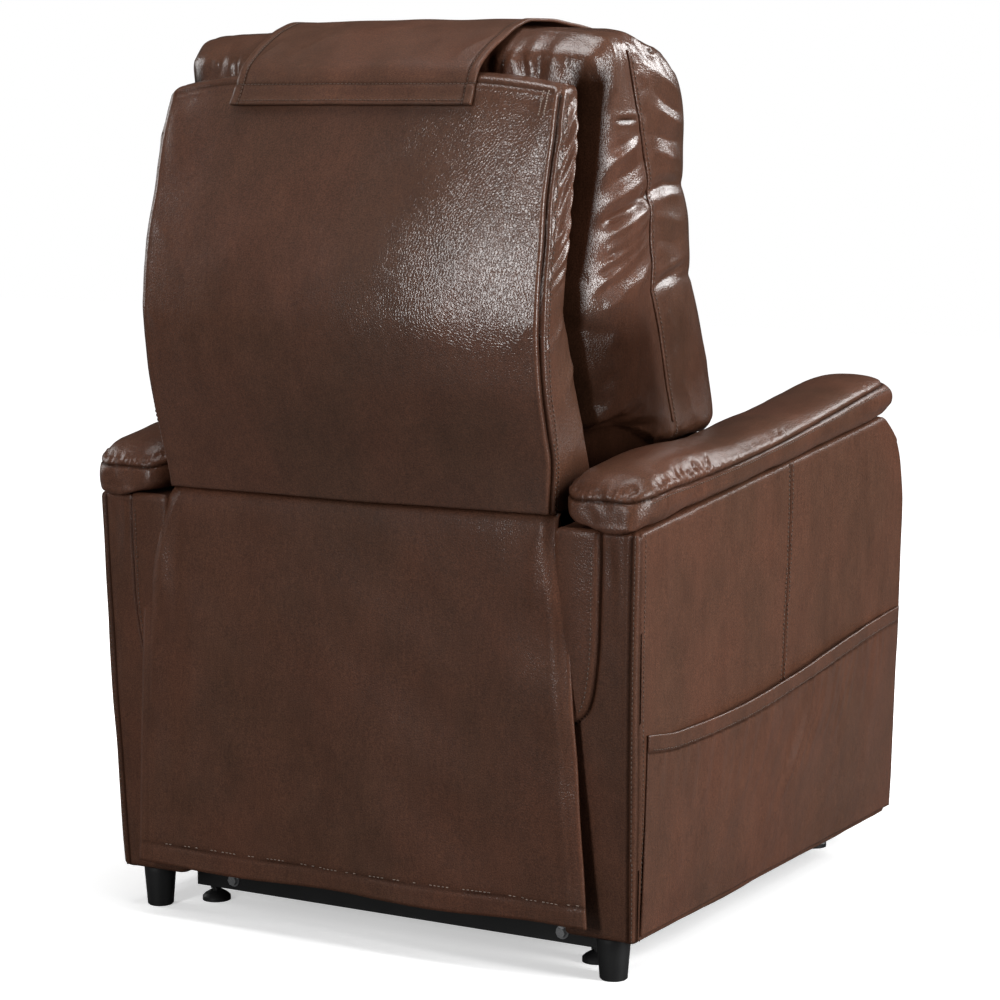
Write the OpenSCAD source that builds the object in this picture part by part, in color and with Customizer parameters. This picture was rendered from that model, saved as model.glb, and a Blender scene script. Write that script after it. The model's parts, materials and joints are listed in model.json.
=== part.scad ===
// Power lift recliner chair. Millimetres, +Z up, the sitter faces -Y and the sitter's right is -X.
// "Forward" distances are measured from the centre line of the rear legs towards the sitter's feet.

/* [Seat and arms] */
// Clear width between the arms
seat_w = 524; // [500:2:580]
// Thickness of an arm at its foot
arm_t = 91; // [78:1:110]
// How much wider an arm is under its pad than at its foot
arm_flare = 12; // [5:1:30]
// Forward reach of the arm's foot
arm_front = 697; // [690:1:740]
// How far the arm's foot reaches behind the rear legs' centre line
arm_back = 22; // [20:1:30]
// Height of the arm's foot above the floor
arm_foot_z = 49; // [46:1:50]
// Height of the arm pad's seam at the back of the arm
pad_rear_z = 516; // [505:1:525]
// Rise of the arm pad's seam towards the front
pad_rise = 70; // [50:1:80]
// Thickness of the arm pad at its rear crown
pad_t = 67; // [48:1:72]
// How far the arm pad overhangs the arm's outer face
pad_overhang = 13; // [5:1:20]
// Thickness of the padded leather shell of an arm
shell_t = 10; // [8:1:12]
// Crown height of the seat cushion
seat_top = 476; // [465:1:478]

/* [Back] */
// How far each side of the outer back stands past the arm's inner face
back_over = 2; // [-10:1:4]
// How far the pillow-top back cushion spreads over each arm
wing_over = 22; // [10:1:30]
// Clearance between the back cushion and each arm
cushion_clear = 7; // [4:1:15]
// Depth of the two sewn channels across the back cushion
channel_depth = 20; // [8:1:26]
// How far the outer back's middle stands behind its side seams
back_crown = 24; // [10:1:30]
// Wall of the padded outer back
back_wall = 12; // [8:1:14]
// Width of the head pillow's strap
strap_w = 322; // [260:2:380]

/* [Lift] */
// Radius of the pivot studs of the lift links
stud_r = 6; // [5:0.5:7]
// Radius of the lift links' round ends
link_r = 13; // [11:0.5:14]
// Thickness of the lift links
link_t = 6; // [5:0.5:6]
// Thickness of the pressed steel plates
plate_t = 4; // [3:0.5:4]
// Radius of the torque tube
torque_r = 12.5; // [11:0.5:14]

/* [Footrest] */
// Half length of a footrest link, pivot to crossing
half_link = 100; // [92:1:104]
// Thickness of a footrest link
foot_t = 5; // [4:0.5:5]
// Half width of a footrest link
foot_r = 8; // [7:0.5:9]
// Radius of the footrest studs
foot_stud = 4; // [3:0.5:4.5]
// Clearance between the footrest board and each arm
board_clear = 19; // [17:1:40]

/* [Base] */
// Section height of the base tubes
tube_h = 25; // [22:1:25]
// Section width of the base cross tubes
tube_w = 30; // [25:1:32]
// Wall of the base tubes
tube_wall = 2; // [1.5:0.5:3]
// Height of the base tubes above the floor
tube_z = 20; // [20:1:20]
// Radius of a levelling foot
foot_disc_r = 17.5; // [14:0.5:20]
// Top radius of a rear leg
leg_r_top = 19.5; // [17:0.5:22]
// Bottom radius of a rear leg
leg_r_foot = 16; // [13:0.5:17]

/* [Hidden] */

$fn = 48;
running = 0.05;         // radial clearance of a stud in its bore
gap = 0.3;              // clearance between pieces that only rest near each other
leg_y = 306.6;            // y of the rear legs' centre line
seat_half = seat_w / 2;

// Lateral layers from the arm inwards, each the inner face of a layer at the sitter's left
wood_t = 18;
washer = 2;                               // clearance between neighbouring layers of the lift linkage
carriage_x = seat_half - gap - wood_t - plate_t;
rear_link_x = carriage_x + plate_t + washer;
side_bracket_x = rear_link_x + link_t + washer;
lift_arm_x = carriage_x - washer - link_t;
front_bracket_x = lift_arm_x - washer - plate_t;
rail_w = 30;
rail_x = front_bracket_x + 10;            // base side rails
back_bracket_x = carriage_x - plate_t - 2 * washer;
upright_x = back_bracket_x - wood_t;
foot_washer = 1;                          // clearance between neighbouring layers of the footrest
link_a_x = front_bracket_x - 18;          // footrest links of the a hand
link_b_x = link_a_x - foot_t - foot_washer;
mech_x = link_b_x - plate_t - 2 * foot_washer; // footrest mechanism plate and board brackets
board_w = seat_w - 2 * board_clear;

// Half widths of the upholstery
back_half_w = seat_half + back_over;
cushion_half_w = seat_half + wing_over;
cushion_low_w = seat_half - cushion_clear;
flap_top_w = seat_half - 5;
flap_hem_w = seat_half + 42;

// Pivots, each [forward, height]
pivot_b = [620, 62];      // lift arm on the front bracket
pivot_d = [364.6, 70];    // lift arm on the carriage
pivot_a = [550, 106.3];   // rear link on the side bracket
pivot_c = [120, 160];     // rear link on the carriage, the open pivot of the four-bar
pivot_g = [120, 100];     // actuator on the carriage
pivot_e = [365.5, 209.1]; // rod end in the slotted crank
pivot_p = [80, 400];      // back hinge
slot_angle = 81;          // the crank's slot leans this far from the forward direction
slot_up = 5.4;
slot_down = 3.8;
slot_side = 0.8;
open_play = 0.9;          // radial play at the open pivot of the four-bar

// Footrest lazy tongs
tongs_tilt = 8;           // the tongs open forward and this much upward
tongs_stowed = 84;        // half the angle between crossed links when stowed
tongs_open = 12;
tongs_root = [560, 315];
a_turn = tongs_tilt - tongs_stowed;
b_turn = tongs_tilt + tongs_stowed;
function polar(a, r) = [r * cos(a), r * sin(a)];
stage = 2 * half_link * cos(tongs_stowed);
tongs_t1 = tongs_root + polar(tongs_tilt, stage);
tongs_u1 = tongs_root + polar(a_turn, 2 * half_link);
tongs_s1 = tongs_root + polar(tongs_tilt - 90, 2 * half_link * sin(tongs_stowed));
tongs_s1_open = tongs_root + polar(tongs_tilt - 90, 2 * half_link * sin(tongs_open));
tongs_m1 = tongs_root + polar(a_turn, half_link);
tongs_m2 = tongs_t1 + polar(a_turn, half_link);
tongs_u2 = tongs_t1 + polar(a_turn, 2 * half_link);
tongs_t2 = tongs_m2 + polar(b_turn, half_link);
tongs_k = tongs_t2 + polar(a_turn, half_link);

// Side profiles of the upholstery, each [height, forward]
frame_front = [[430, 108], [480, 108], [530, 74], [564, 45], [606, 22], [652, 5], [686, -10], [720, -19],
               [755, -29], [790, -24], [830, -13], [894, 0], [994, 12], [1070, 16]];
seam_back = [[520, -46], [581, -56], [628, -70], [675, -81], [735, -87], [775, -84], [818, -77],
             [900, -58], [958, -41], [1000, -25]];
cushion_face = [[480, 352], [500, 374], [560, 388], [600, 390], [640, 382], [700, 360], [740, 347],
                [790, 330], [840, 326], [880, 314], [930, 306], [970, 300], [1000, 286], [1030, 258],
                [1048, 220], [1062, 170]];
channels = [778, 884];    // heights of the sewn channels
seam_z = 529;             // the outer back's lower seam
back_top_z = 997;
cushion_z = [481, 1062];
hem_z = 66;

function smooth(t) = let (c = min(1, max(0, t))) c * c * (3 - 2 * c);
function mix(a, b, t) = a + (b - a) * t;
function sgnpow(v, p) = sign(v) * pow(abs(v), p);
// A point of a squared-off ellipse
function squircle(t, a, b, p) = [a * sgnpow(cos(t), 2 / p), b * sgnpow(sin(t), 2 / p)];
function reversed(v) = [for (k = [len(v) - 1:-1:0]) v[k]];
function middle(ring) = [for (k = [0:2]) let (v = [for (q = ring) q[k]]) (min(v) + max(v)) / 2];
// 0 to 1 over the last r of travel before an end, as a quarter circle
function rounded_end(d, r) = d >= r ? 1 : sqrt(1 - pow((r - max(d, 0)) / r, 2));

// Closed skin through a stack of rings with the same number of points; flip turns the skin's outside round
module loft(stack, flip = false) {
    rings = flip ? [for (r = stack) reversed(r)] : stack;
    n = len(rings[0]);
    m = len(rings);
    points = concat([for (r = rings) each r], [middle(rings[0]), middle(rings[m - 1])]);
    sides = [for (i = [0:m - 2], j = [0:n - 1])
        let (a = i * n + j, b = i * n + (j + 1) % n) each [[a, b + n, b], [a, a + n, b + n]]];
    ends = [for (j = [0:n - 1]) each
        [[m * n, j, (j + 1) % n], [m * n + 1, (m - 1) * n + (j + 1) % n, (m - 1) * n + j]]];
    polyhedron(points, concat(sides, ends), convexity = 8);
}

// Sheet of even thickness over a grid of points, thickened along dir
module sheet(grid, dir) {
    m = len(grid);
    n = len(grid[0]);
    points = concat([for (r = grid) each r], [for (r = grid) each [for (q = r) q + dir]]);
    top = [for (i = [0:m - 2], j = [0:n - 2])
        let (a = i * n + j) each [[a, a + 1, a + n + 1], [a, a + n + 1, a + n]]];
    o = m * n;
    under = [for (f = top) [f[2] + o, f[1] + o, f[0] + o]];
    rim = concat([for (j = [0:n - 2]) [j, j + 1]],
                 [for (i = [0:m - 2]) [i * n + n - 1, (i + 1) * n + n - 1]],
                 [for (j = [n - 1:-1:1]) [(m - 1) * n + j, (m - 1) * n + j - 1]],
                 [for (i = [m - 1:-1:1]) [i * n, (i - 1) * n]]);
    edge = [for (e = rim) each [[e[1], e[0], e[0] + o], [e[1], e[0] + o, e[1] + o]]];
    polyhedron(points, concat(top, under, edge), convexity = 8);
}

// Side-view profiles are drawn as [-forward, height]
function side(p) = [-p[0], p[1]];
module slab(x0, t) {
    translate([x0, leg_y, 0]) rotate([90, 0, 90]) linear_extrude(t) children();
}
module both() {
    children();
    mirror([1, 0, 0]) children();
}
module right() {
    mirror([1, 0, 0]) children();
}
// Flat bar with round eyes of radius r at p and q, its shank a little narrower; a waist of 1 makes a slot
module bar2d(p, q, r, waist = 0.94) {
    a = side(p);
    d = side(q) - a;
    translate(a) circle(r);
    translate(side(q)) circle(r);
    translate(a) rotate(atan2(d[1], d[0])) translate([0, -r * waist]) square([norm(d), 2 * r * waist]);
}
module spot(p, r) {
    translate(side(p)) circle(r);
}
// Block given by its x range, forward range and height range
module block(x, fwd, z) {
    translate([x[0], leg_y - fwd[1], z[0]]) cube([x[1] - x[0], fwd[1] - fwd[0], z[1] - z[0]]);
}
// Rectangular tube along x or along y, open at both ends
module tube_x(x, fwd, z, wall) {
    difference() {
        block(x, fwd, z);
        block([x[0] - 1, x[1] + 1], [fwd[0] + wall, fwd[1] - wall], [z[0] + wall, z[1] - wall]);
    }
}
module tube_y(x, fwd, z, wall) {
    difference() {
        block(x, fwd, z);
        block([x[0] + wall, x[1] - wall], [fwd[0] - 1, fwd[1] + 1], [z[0] + wall, z[1] - wall]);
    }
}

// ---------------------------------------------------------------- base
tube_span = seat_half + 23;
foot_x = tube_span - foot_disc_r - 0.5;
base_rear = 51;
base_front = 662;
foot_at = [for (x = [-foot_x, foot_x], f = [base_rear, base_front]) [x, f]];
base_z = [tube_z, tube_z + tube_h];
rear_fwd = [base_rear - tube_w / 2, base_rear + tube_w / 2];
front_fwd = [base_front - tube_w / 2, base_front + tube_w / 2];
level_stud_r = 4;

module levelling_feet() {
    color("#161616") for (p = foot_at) translate([p[0], leg_y - p[1], 0]) {
        rotate_extrude() polygon([[0, 0], [foot_disc_r, 0], [foot_disc_r, 5], [foot_disc_r - 3, 8],
                                  [8, 12], [level_stud_r, 12], [level_stud_r, tube_z + 12],
                                  [0, tube_z + 12]]);
        translate([0, 0, 15]) linear_extrude(tube_z - 15) difference() {
            circle(r = 8, $fn = 6);
            circle(level_stud_r - 0.5);
        }
    }
}
module cross_tube(fwd) {
    difference() {
        tube_x([-tube_span, tube_span], fwd, base_z, tube_wall);
        for (p = foot_at) translate([p[0], leg_y - p[1], tube_z - 1]) cylinder(r = level_stud_r + gap, h = 5);
    }
}
module base_rear_tube() { color("#1c1c1e") cross_tube(rear_fwd); }
module base_front_tube() { color("#1c1c1e") cross_tube(front_fwd); }
module base_rail() {
    color("#1c1c1e") tube_y([rail_x, rail_x + rail_w], [rear_fwd[1], front_fwd[0]], base_z, tube_wall);
}
module base_rail_left() { base_rail(); }
module base_rail_right() { right() base_rail(); }
module base_bolts() {
    color("#3a3a3c") for (s = [-1, 1], e = [0, 1])
        translate([s * (rail_x - 6), leg_y - (e == 0 ? rear_fwd[0] : front_fwd[1]), tube_z + tube_h / 2])
            rotate([e == 0 ? -90 : 90, 0, 0]) {
                cylinder(r = 8, h = 1.5);
                cylinder(r = 6, h = 6, $fn = 6);
            }
}
module front_brackets() {
    color("#1c1c1e") both() {
        slab(front_bracket_x, plate_t) {
            bar2d(pivot_b, pivot_b + [26, 2], link_r);
            polygon([side([front_fwd[0], base_z[1]]), side([front_fwd[1], base_z[1]]),
                     side([front_fwd[1], base_z[1] + 14]), side([front_fwd[0] - 1, base_z[1] + 26])]);
        }
        slab(front_bracket_x + plate_t, lift_arm_x - front_bracket_x - plate_t + link_t + 0.8)
            spot(pivot_b, stud_r);
    }
}
module side_brackets() {
    color("#1c1c1e") both() {
        slab(side_bracket_x, plate_t) {
            spot(pivot_a, link_r);
            polygon([side(pivot_a + [-link_r, 0]), side(pivot_a + [link_r, 0]),
                     side([pivot_a[0] + 30, base_z[1]]), side([pivot_a[0] - 30, base_z[1]])]);
        }
        slab(rear_link_x - 0.8, side_bracket_x - rear_link_x + 0.8) spot(pivot_a, stud_r);
    }
}
module power_box() {
    box_fwd = [rear_fwd[1], rear_fwd[1] + 62];
    color("#18181a") difference() {
        union() {
            block([-185, -75], box_fwd, [tube_z, tube_z + 30]);
            block([-178, -82], [box_fwd[0] + 6, box_fwd[1] - 6], [tube_z + 30, tube_z + 33]);
        }
        block([-186, -171], [box_fwd[0] + 12, box_fwd[0] + 26], [tube_z + 9, tube_z + 20]);
        block([-186, -171], [box_fwd[0] + 36, box_fwd[0] + 50], [tube_z + 9, tube_z + 20]);
    }
}

// ---------------------------------------------------------------- lift linkage
module lift_arm() {
    color("#242427") {
        slab(lift_arm_x, link_t) difference() {
            bar2d(pivot_b, pivot_d, link_r);
            spot(pivot_b, stud_r + running);
        }
        slab(lift_arm_x + link_t, carriage_x + plate_t + 0.8 - lift_arm_x - link_t) spot(pivot_d, stud_r);
    }
}
module lift_arm_left() { lift_arm(); }
module lift_arm_right() { right() lift_arm(); }
module torque_tube() {
    color("#242427") {
        slab(-lift_arm_x, 2 * lift_arm_x) difference() {
            spot(pivot_d, torque_r);
            spot(pivot_d, torque_r - 2.5);
        }
        // slotted crank ears; the lost motion of the slot lets one motor work two mechanisms
        along = polar(slot_angle, 1);
        both() slab(12.5, 5) difference() {
            union() {
                bar2d(pivot_d, pivot_e, torque_r + 2);
                spot(pivot_e + slot_up * along, torque_r + 2);
            }
            spot(pivot_d, torque_r - 0.5);
            bar2d(pivot_e - slot_down * along, pivot_e + slot_up * along, stud_r + slot_side, 1);
        }
    }
}
module rear_link() {
    color("#242427") slab(rear_link_x, link_t) difference() {
        bar2d(pivot_a, pivot_c, link_r - 1);
        spot(pivot_a, stud_r + running);
        spot(pivot_c, stud_r + open_play);
    }
}
module rear_link_left() { rear_link(); }
module rear_link_right() { right() rear_link(); }

// ---------------------------------------------------------------- actuator, drawn along its own axis
actuator_dir = pivot_e - pivot_g;
actuator_len = norm(actuator_dir);
actuator_slope = atan2(actuator_dir[1], actuator_dir[0]);
rod_r = 10;
gear_w = 40;
gear_end = 66;
tube_r = 17;
tube_end = 188;
// children are drawn with +Y along the rod, +X to the sitter's left and the rear pin at the origin
module on_actuator() {
    translate([0, leg_y - pivot_g[0], pivot_g[1]]) rotate([-actuator_slope, 0, 0]) mirror([0, 1, 0])
        children();
}
module across(y, r, w) {
    translate([-w / 2, y, 0]) rotate([0, 90, 0]) cylinder(r = r, h = w);
}
module actuator_gearbox() {
    color("#1a1a1c") on_actuator() difference() {
        union() {
            translate([-gear_w / 2, 0, -14]) cube([gear_w, 8, 28]);
            across(0, 14, gear_w);
            translate([-gear_w / 2, 8, -24]) cube([gear_w, gear_end - 8, 46]);
            translate([0, gear_end, 0]) rotate([-90, 0, 0]) cylinder(r1 = 22, r2 = 19, h = 8);
        }
        across(0, stud_r + running, gear_w + 2);
        translate([0, gear_end + 2, 0]) rotate([-90, 0, 0]) cylinder(r = tube_r, h = 10);
        translate([0, gear_end - 4, 0]) rotate([-90, 0, 0]) cylinder(r = rod_r + 1, h = 10);
    }
}
module actuator_motor() {
    color("#2b2b2e") on_actuator() translate([gear_w / 2, 42, -2]) rotate([0, 90, 0]) {
        cylinder(r = 22, h = 92);
        translate([0, 0, 92]) cylinder(r1 = 22, r2 = 18, h = 6);
        translate([0, 0, 12]) cylinder(r = 23, h = 4);
        translate([0, 0, 78]) cylinder(r = 23, h = 4);
    }
}
module actuator_tube() {
    color("#8f9194") on_actuator() translate([0, gear_end + 2, 0]) rotate([-90, 0, 0]) difference() {
        union() {
            cylinder(r = tube_r, h = tube_end - gear_end - 2);
            translate([0, 0, tube_end - gear_end - 14]) cylinder(r = tube_r + 1.5, h = 12);
        }
        translate([0, 0, -1]) cylinder(r = rod_r + 0.08, h = tube_end);
    }
}
module actuator_rod() {
    color("#c9cbce") on_actuator() {
        translate([0, 84, 0]) rotate([-90, 0, 0]) cylinder(r = rod_r, h = actuator_len - 84 - 8);
        difference() {
            across(actuator_len, 13, 23);
            across(actuator_len, stud_r - 1, 24);
        }
        across(actuator_len, stud_r, 41);
    }
}

// ---------------------------------------------------------------- carriage and seat frame
seat_z = [345, 385];
seat_fwd = [60, 660];
module carriage_plate() {
    color("#242427") {
        slab(carriage_x, plate_t) difference() {
            union() {
                bar2d(pivot_c + [-6, 0], pivot_c + [80, -6], 17);
                bar2d(pivot_d, pivot_d + [26, 10], 15);
                spot(pivot_p, 15);
                polygon([for (p = [[103, 150], [140, 143], [300, 70], [350, 56], [404, 64], [420, 100],
                                   [440, 230], [600, seat_z[0]], [640, seat_z[0]], [640, seat_z[1]],
                                   [pivot_p[0] + 15, seat_z[1]], [pivot_p[0] + 15, pivot_p[1]],
                                   [pivot_p[0] - 15, pivot_p[1]], [pivot_p[0] - 15, 330]]) side(p)]);
            }
            spot(pivot_d, stud_r + running);
        }
        slab(carriage_x + plate_t, rear_link_x + link_t + 0.8 - carriage_x - plate_t) spot(pivot_c, stud_r);
        slab(back_bracket_x - 0.6, carriage_x - back_bracket_x + 0.6) spot(pivot_p, stud_r);
    }
}
module carriage_plate_left() { carriage_plate(); }
module carriage_plate_right() { right() carriage_plate(); }
carriage_rear_fwd = [84, 106];
carriage_rear_z = [152, 174];
module carriage_rear_tube() {
    color("#242427") tube_x([-carriage_x, carriage_x], carriage_rear_fwd, carriage_rear_z, tube_wall);
}
carriage_front_fwd = [452, 474];
carriage_front_z = [298, 320];
module carriage_front_tube() {
    color("#242427") tube_x([-carriage_x, carriage_x], carriage_front_fwd, carriage_front_z, tube_wall);
}
module motor_clevis() {
    color("#242427") {
        both() slab(gear_w / 2 + 1, plate_t) difference() {
            union() {
                spot(pivot_g, 13);
                polygon([for (p = [pivot_g + [-13, 0], pivot_g + [13, 0],
                                   [carriage_rear_fwd[1], carriage_rear_z[0]],
                                   [carriage_rear_fwd[0], carriage_rear_z[0]]]) side(p)]);
            }
            spot(pivot_g, stud_r + running);
        }
        slab(-gear_w / 2 - 7, gear_w + 14) spot(pivot_g, stud_r);
    }
}
module mechanism_plate() {
    // inner side plate of the footrest, with the sliding pivot's slot
    lean = polar(tongs_tilt - 90, 1);
    ahead = polar(tongs_tilt, 1);
    color("#242427") {
        slab(mech_x, plate_t) difference() {
            polygon([for (p = [[carriage_front_fwd[1], seat_z[0]], tongs_root + 14 * ahead + [0, 30],
                               tongs_root + 14 * ahead, tongs_s1 + 12 * ahead, tongs_s1 + 12 * lean,
                               tongs_s1 + 14 * lean - 30 * ahead, [500, 200],
                               [carriage_front_fwd[1], 280]]) side(p)]);
            bar2d(tongs_s1 + 0.3 * lean, tongs_s1_open - 2 * lean, foot_stud + gap, 1);
        }
        slab(mech_x + plate_t, link_a_x + foot_t + 0.6 - mech_x - plate_t) spot(tongs_root, foot_stud);
    }
}
module mechanism_plate_left() { mechanism_plate(); }
module mechanism_plate_right() { right() mechanism_plate(); }
module seat_rail() {
    color("#b98f5c") block([carriage_x + plate_t, seat_half - gap], seat_fwd, seat_z);
}
module seat_rail_left() { seat_rail(); }
module seat_rail_right() { right() seat_rail(); }
front_rail_t = 16;
module seat_rail_front() {
    color("#b98f5c")
        block([-seat_half + gap, seat_half - gap], [seat_fwd[1], seat_fwd[1] + front_rail_t], seat_z);
}
rear_rail_fwd = [104, 120];
module seat_rail_rear() {
    color("#b98f5c") block([-carriage_x, carriage_x], rear_rail_fwd, seat_z);
}
spring_count = 5;
spring_wire = 4;
module seat_springs() {
    // sinuous springs, clipped on the front and rear rails
    turns = 13;
    start = rear_rail_fwd[0] + 6;
    pitch = (seat_fwd[1] + front_rail_t - 6 - start) / turns;
    color("#55585c") for (s = [0:spring_count - 1])
        translate([(s - (spring_count - 1) / 2) * seat_w / (spring_count + 0.6), leg_y, seat_z[1]])
            linear_extrude(spring_wire) for (k = [0:turns - 1]) {
                y0 = -start - k * pitch;
                x0 = k == 0 ? 0 : (k % 2 == 0 ? 20 : -20);
                x1 = k == turns - 1 ? 0 : (k % 2 == 0 ? -20 : 20);
                d = [x1 - x0, -pitch];
                translate([x0, y0]) circle(spring_wire / 2, $fn = 16);
                translate([x0, y0]) rotate(atan2(d[1], d[0])) translate([0, -spring_wire / 2])
                    square([norm(d), spring_wire]);
                translate([x1, y0 - pitch]) circle(spring_wire / 2, $fn = 16);
            }
}

// ---------------------------------------------------------------- upholstery of the seat and arms
seat_cushion_fwd = [292, 722];
seat_cushion_z = seat_z[1] + spring_wire + gap;
module seat_cushion() {
    // waterfall front, crowned top and drawn-in sides
    function height(f) = (seat_top - seat_cushion_z)
        * (0.80 + 0.20 * sin(180 * (f - seat_cushion_fwd[0]) / (seat_cushion_fwd[1] - seat_cushion_fwd[0])));
    steps = [0.4, 6, 18, 44, 96, 160, 215, 270, 334, 386, 412, 424, 429.6];
    color("#4a2c20") loft([for (s = steps)
        let (f = seat_cushion_fwd[0] + s, e = min(rounded_end(s, 44), rounded_end(430 - s, 44)),
             h = height(f), half = (seat_half - 8) * (0.965 + 0.035 * e))
        [for (k = [0:23]) let (q = squircle(k * 15, half, h / 2 * mix(0.42, 1, e), 5),
             crown = q[1] > 0 ? 0.16 * h * (1 - pow(abs(q[0]) / half, 2)) - 0.10 * h : 0)
            [q[0], leg_y - f, seat_cushion_z + h / 2 + q[1] + crown]]]);
}

module seat_front_band() {
    // padded band over the front rail
    z = [seat_z[0] + 8, seat_cushion_z - gap];
    fwd = [seat_fwd[1] + front_rail_t + gap, 716];
    r = 14;
    color("#4a2c20") translate([-seat_half + 3, leg_y, 0]) rotate([90, 0, 90]) linear_extrude(seat_w - 6) {
        translate(side([fwd[1] - r, z[1] - r])) circle(r);
        translate(side([fwd[1] - r, z[0] + r])) circle(r);
        polygon([side([fwd[0], z[0]]), side([fwd[1] - r, z[0]]),
                 side([fwd[1] - r, z[1]]), side([fwd[0], z[1]])]);
        polygon([side([fwd[1] - r - 1, z[0] + r]), side([fwd[1], z[0] + r]), side([fwd[1], z[1] - r]),
                 side([fwd[1] - r - 1, z[1] - r])]);
    }
}

function flare_at(z) = arm_flare * (z - arm_foot_z) / (500 - arm_foot_z);
function pad_seam(f) = pad_rear_z + pad_rise * (f + 30) / 730;
// Rounded arm block, drawn in by inset on its sides and top
module arm_block(inset, drop) {
    r = 6 - inset * 0.3;
    inner = seat_half + inset + r;
    function outer(z) = seat_half + arm_t + flare_at(z) - inset - r;
    function top(f) = pad_seam(f - r) - gap - inset - 1;
    // each level [height, forward], the front curving back under the pad
    back_c = -arm_back - 20 + inset + r;
    fore_c = arm_front - 44 - inset - r;
    rear = [[arm_foot_z - drop, -arm_back], [400, -arm_back - 16], [top(back_c), -arm_back - 20]];
    fore = [[arm_foot_z - drop, arm_front], [200, arm_front + 21], [400, arm_front + 27],
            [pad_seam(arm_front) - 123, arm_front + 24], [pad_seam(arm_front) - 82, arm_front + 13],
            [pad_seam(arm_front) - 41 - inset, arm_front - 6], [top(fore_c), arm_front - 44]];
    hull() for (v = concat([for (q = rear) [q[0], q[1] + inset + r]],
                           [for (q = fore) [q[0], q[1] - inset - r]]),
                x = [inner, outer(v[0])])
        translate([x, leg_y - v[1], v[0]]) cylinder(r = r, h = 1, $fn = 24);
}
module arm_cover() {
    color("#4a2c20") difference() {
        arm_block(0, 0);
        arm_block(shell_t, 6);
    }
}
module arm_cover_left() { arm_cover(); }
module arm_cover_right() { right() arm_cover(); }
module arm_frame() {
    wall = seat_half + shell_t + gap + 1;
    out = seat_half + arm_t - shell_t - gap - 1;
    post = [wall + 12, out - 12];
    back = -arm_back + shell_t + 4;
    front = arm_front - shell_t - 4;
    color("#b98f5c") {
        block([wall, out], [back, front], [arm_foot_z, arm_foot_z + 24]);
        block(post, [back, back + 40], [arm_foot_z + 24, pad_rear_z - 56]);
        block(post, [front - 40, front], [arm_foot_z + 24, pad_rear_z - 56]);
        block(post, [back, front], [pad_rear_z - 56, pad_rear_z - 32]);
    }
}
module arm_frame_left() { arm_frame(); }
module arm_frame_right() { right() arm_frame(); }
pad_fwd = [-52, arm_front - 25];
module arm_pad() {
    // crowned bolster above a boxing strip, round at both ends, its under edge on the sloping seam
    half = (arm_t + arm_flare + pad_overhang) / 2;
    long = pad_fwd[1] - pad_fwd[0];
    steps = [0.3, 4, 13, 30, 62, 110, 200, 300, 400, 500, 590, long - 84, long - 48, long - 24, long - 9,
             long - 2, long - 0.3];
    color("#4a2c20") loft([for (s = steps)
        let (f = pad_fwd[0] + s, e = min(rounded_end(s, 44), rounded_end(long - s, 70)),
             rise = 1 - 0.21 * smooth((f - 60) / 180) + 0.07 * smooth((f - 420) / 160),
             h = pad_t * rise * mix(0.4, 1, e),
             w = half * mix(0.72, 1, e))
        [for (k = [0:21])
            let (up = k < 11, q = squircle(k * 360 / 22, w, up ? 0.56 * h : 0.44 * h, up ? 2.3 : 3.6),
                 z = pad_seam(f) + 0.44 * h + q[1] + (1 - e) * pad_t * 0.1 + 0.2)
            [seat_half + half + q[0], leg_y - f, z]]]);
}
module arm_pad_left() { arm_pad(); }
module arm_pad_right() { right() arm_pad(); }

// ---------------------------------------------------------------- side pocket on the sitter's right arm
pocket_fwd = [-12, 706];
pocket_gap = 16;
function pocket_top(f) = 279 + 46 * smooth((f - 120) / 620) + 8 * smooth((60 - f) / 90);
function pocket_off(u, v) = gap + pocket_gap * pow(sin(180 * u), 0.8) * pow(v, 0.9)
    + 1.6 * sin(180 * u) * v * (1 - v) * 4 * sin(360 * (3.2 * u - 1.1 * v));
module side_pocket() {
    m = 15;
    n = 7;
    grid = [for (i = [0:m - 1]) [for (j = [0:n - 1])
        let (u = i / (m - 1), v = j / (n - 1), f = mix(pocket_fwd[0], pocket_fwd[1], u),
             z = mix(arm_foot_z + 8, pocket_top(f), v))
        [-(seat_half + arm_t + flare_at(z) + pocket_off(u, v)), leg_y - f, z]]];
    color("#4a2c20") sheet(reversed(grid), [-2.5, 0, 0]);
}

leg_x = seat_half + arm_t - 38;
module rear_legs() {
    color("#141414") for (x = [-leg_x, leg_x]) translate([x, leg_y, 0]) rotate_extrude()
        polygon([[0, 0], [leg_r_foot - 1.5, 0], [leg_r_foot, 1.5], [leg_r_top, arm_foot_z - 4],
                 [leg_r_top, arm_foot_z], [0, arm_foot_z]]);
}

// ---------------------------------------------------------------- outer back
module back_flap() {
    // cloth that hangs from the back's lower seam, flaring over the arms' rear edges
    m = 9;
    n = 13;
    grid = [for (i = [0:m - 1]) [for (j = [0:n - 1])
        let (v = i / (m - 1), u = j / (n - 1) * 2 - 1, z = mix(seam_z - gap, hem_z, v),
             w = mix(flap_top_w, flap_hem_w, v),
             fold = 5 * v * sin(180 * (1.7 * u + 0.8 * v)) * (1 - 0.4 * abs(u)) + 3 * sin(180 * v))
        [u * w, leg_y + 46 + 4 * v + fold * 0.6, z]]];
    color("#3f2419") sheet(grid, [0, 3, 0]);
}

// The outer back bows rearwards between its side seams
function bow(z) = 8 + (back_crown - 8) * sin(180 * (z - seam_z) / (back_top_z - seam_z));
function across_bow(v) = 1 - pow(min(1, abs(v)), 2.4);
// Forward position of the hollow inside the outer back, x from the middle, at height z
function hollow_f(x, z) = lookup(z, seam_back) + back_wall - bow(z) * across_bow(x / (edge_w(z) - back_wall));
function edge_w(z) = back_half_w - 7 * smooth((600 - z) / 70) - 3 * smooth((z - 820) / 60)
                     - 3 * smooth((z - 930) / 70);
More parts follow.
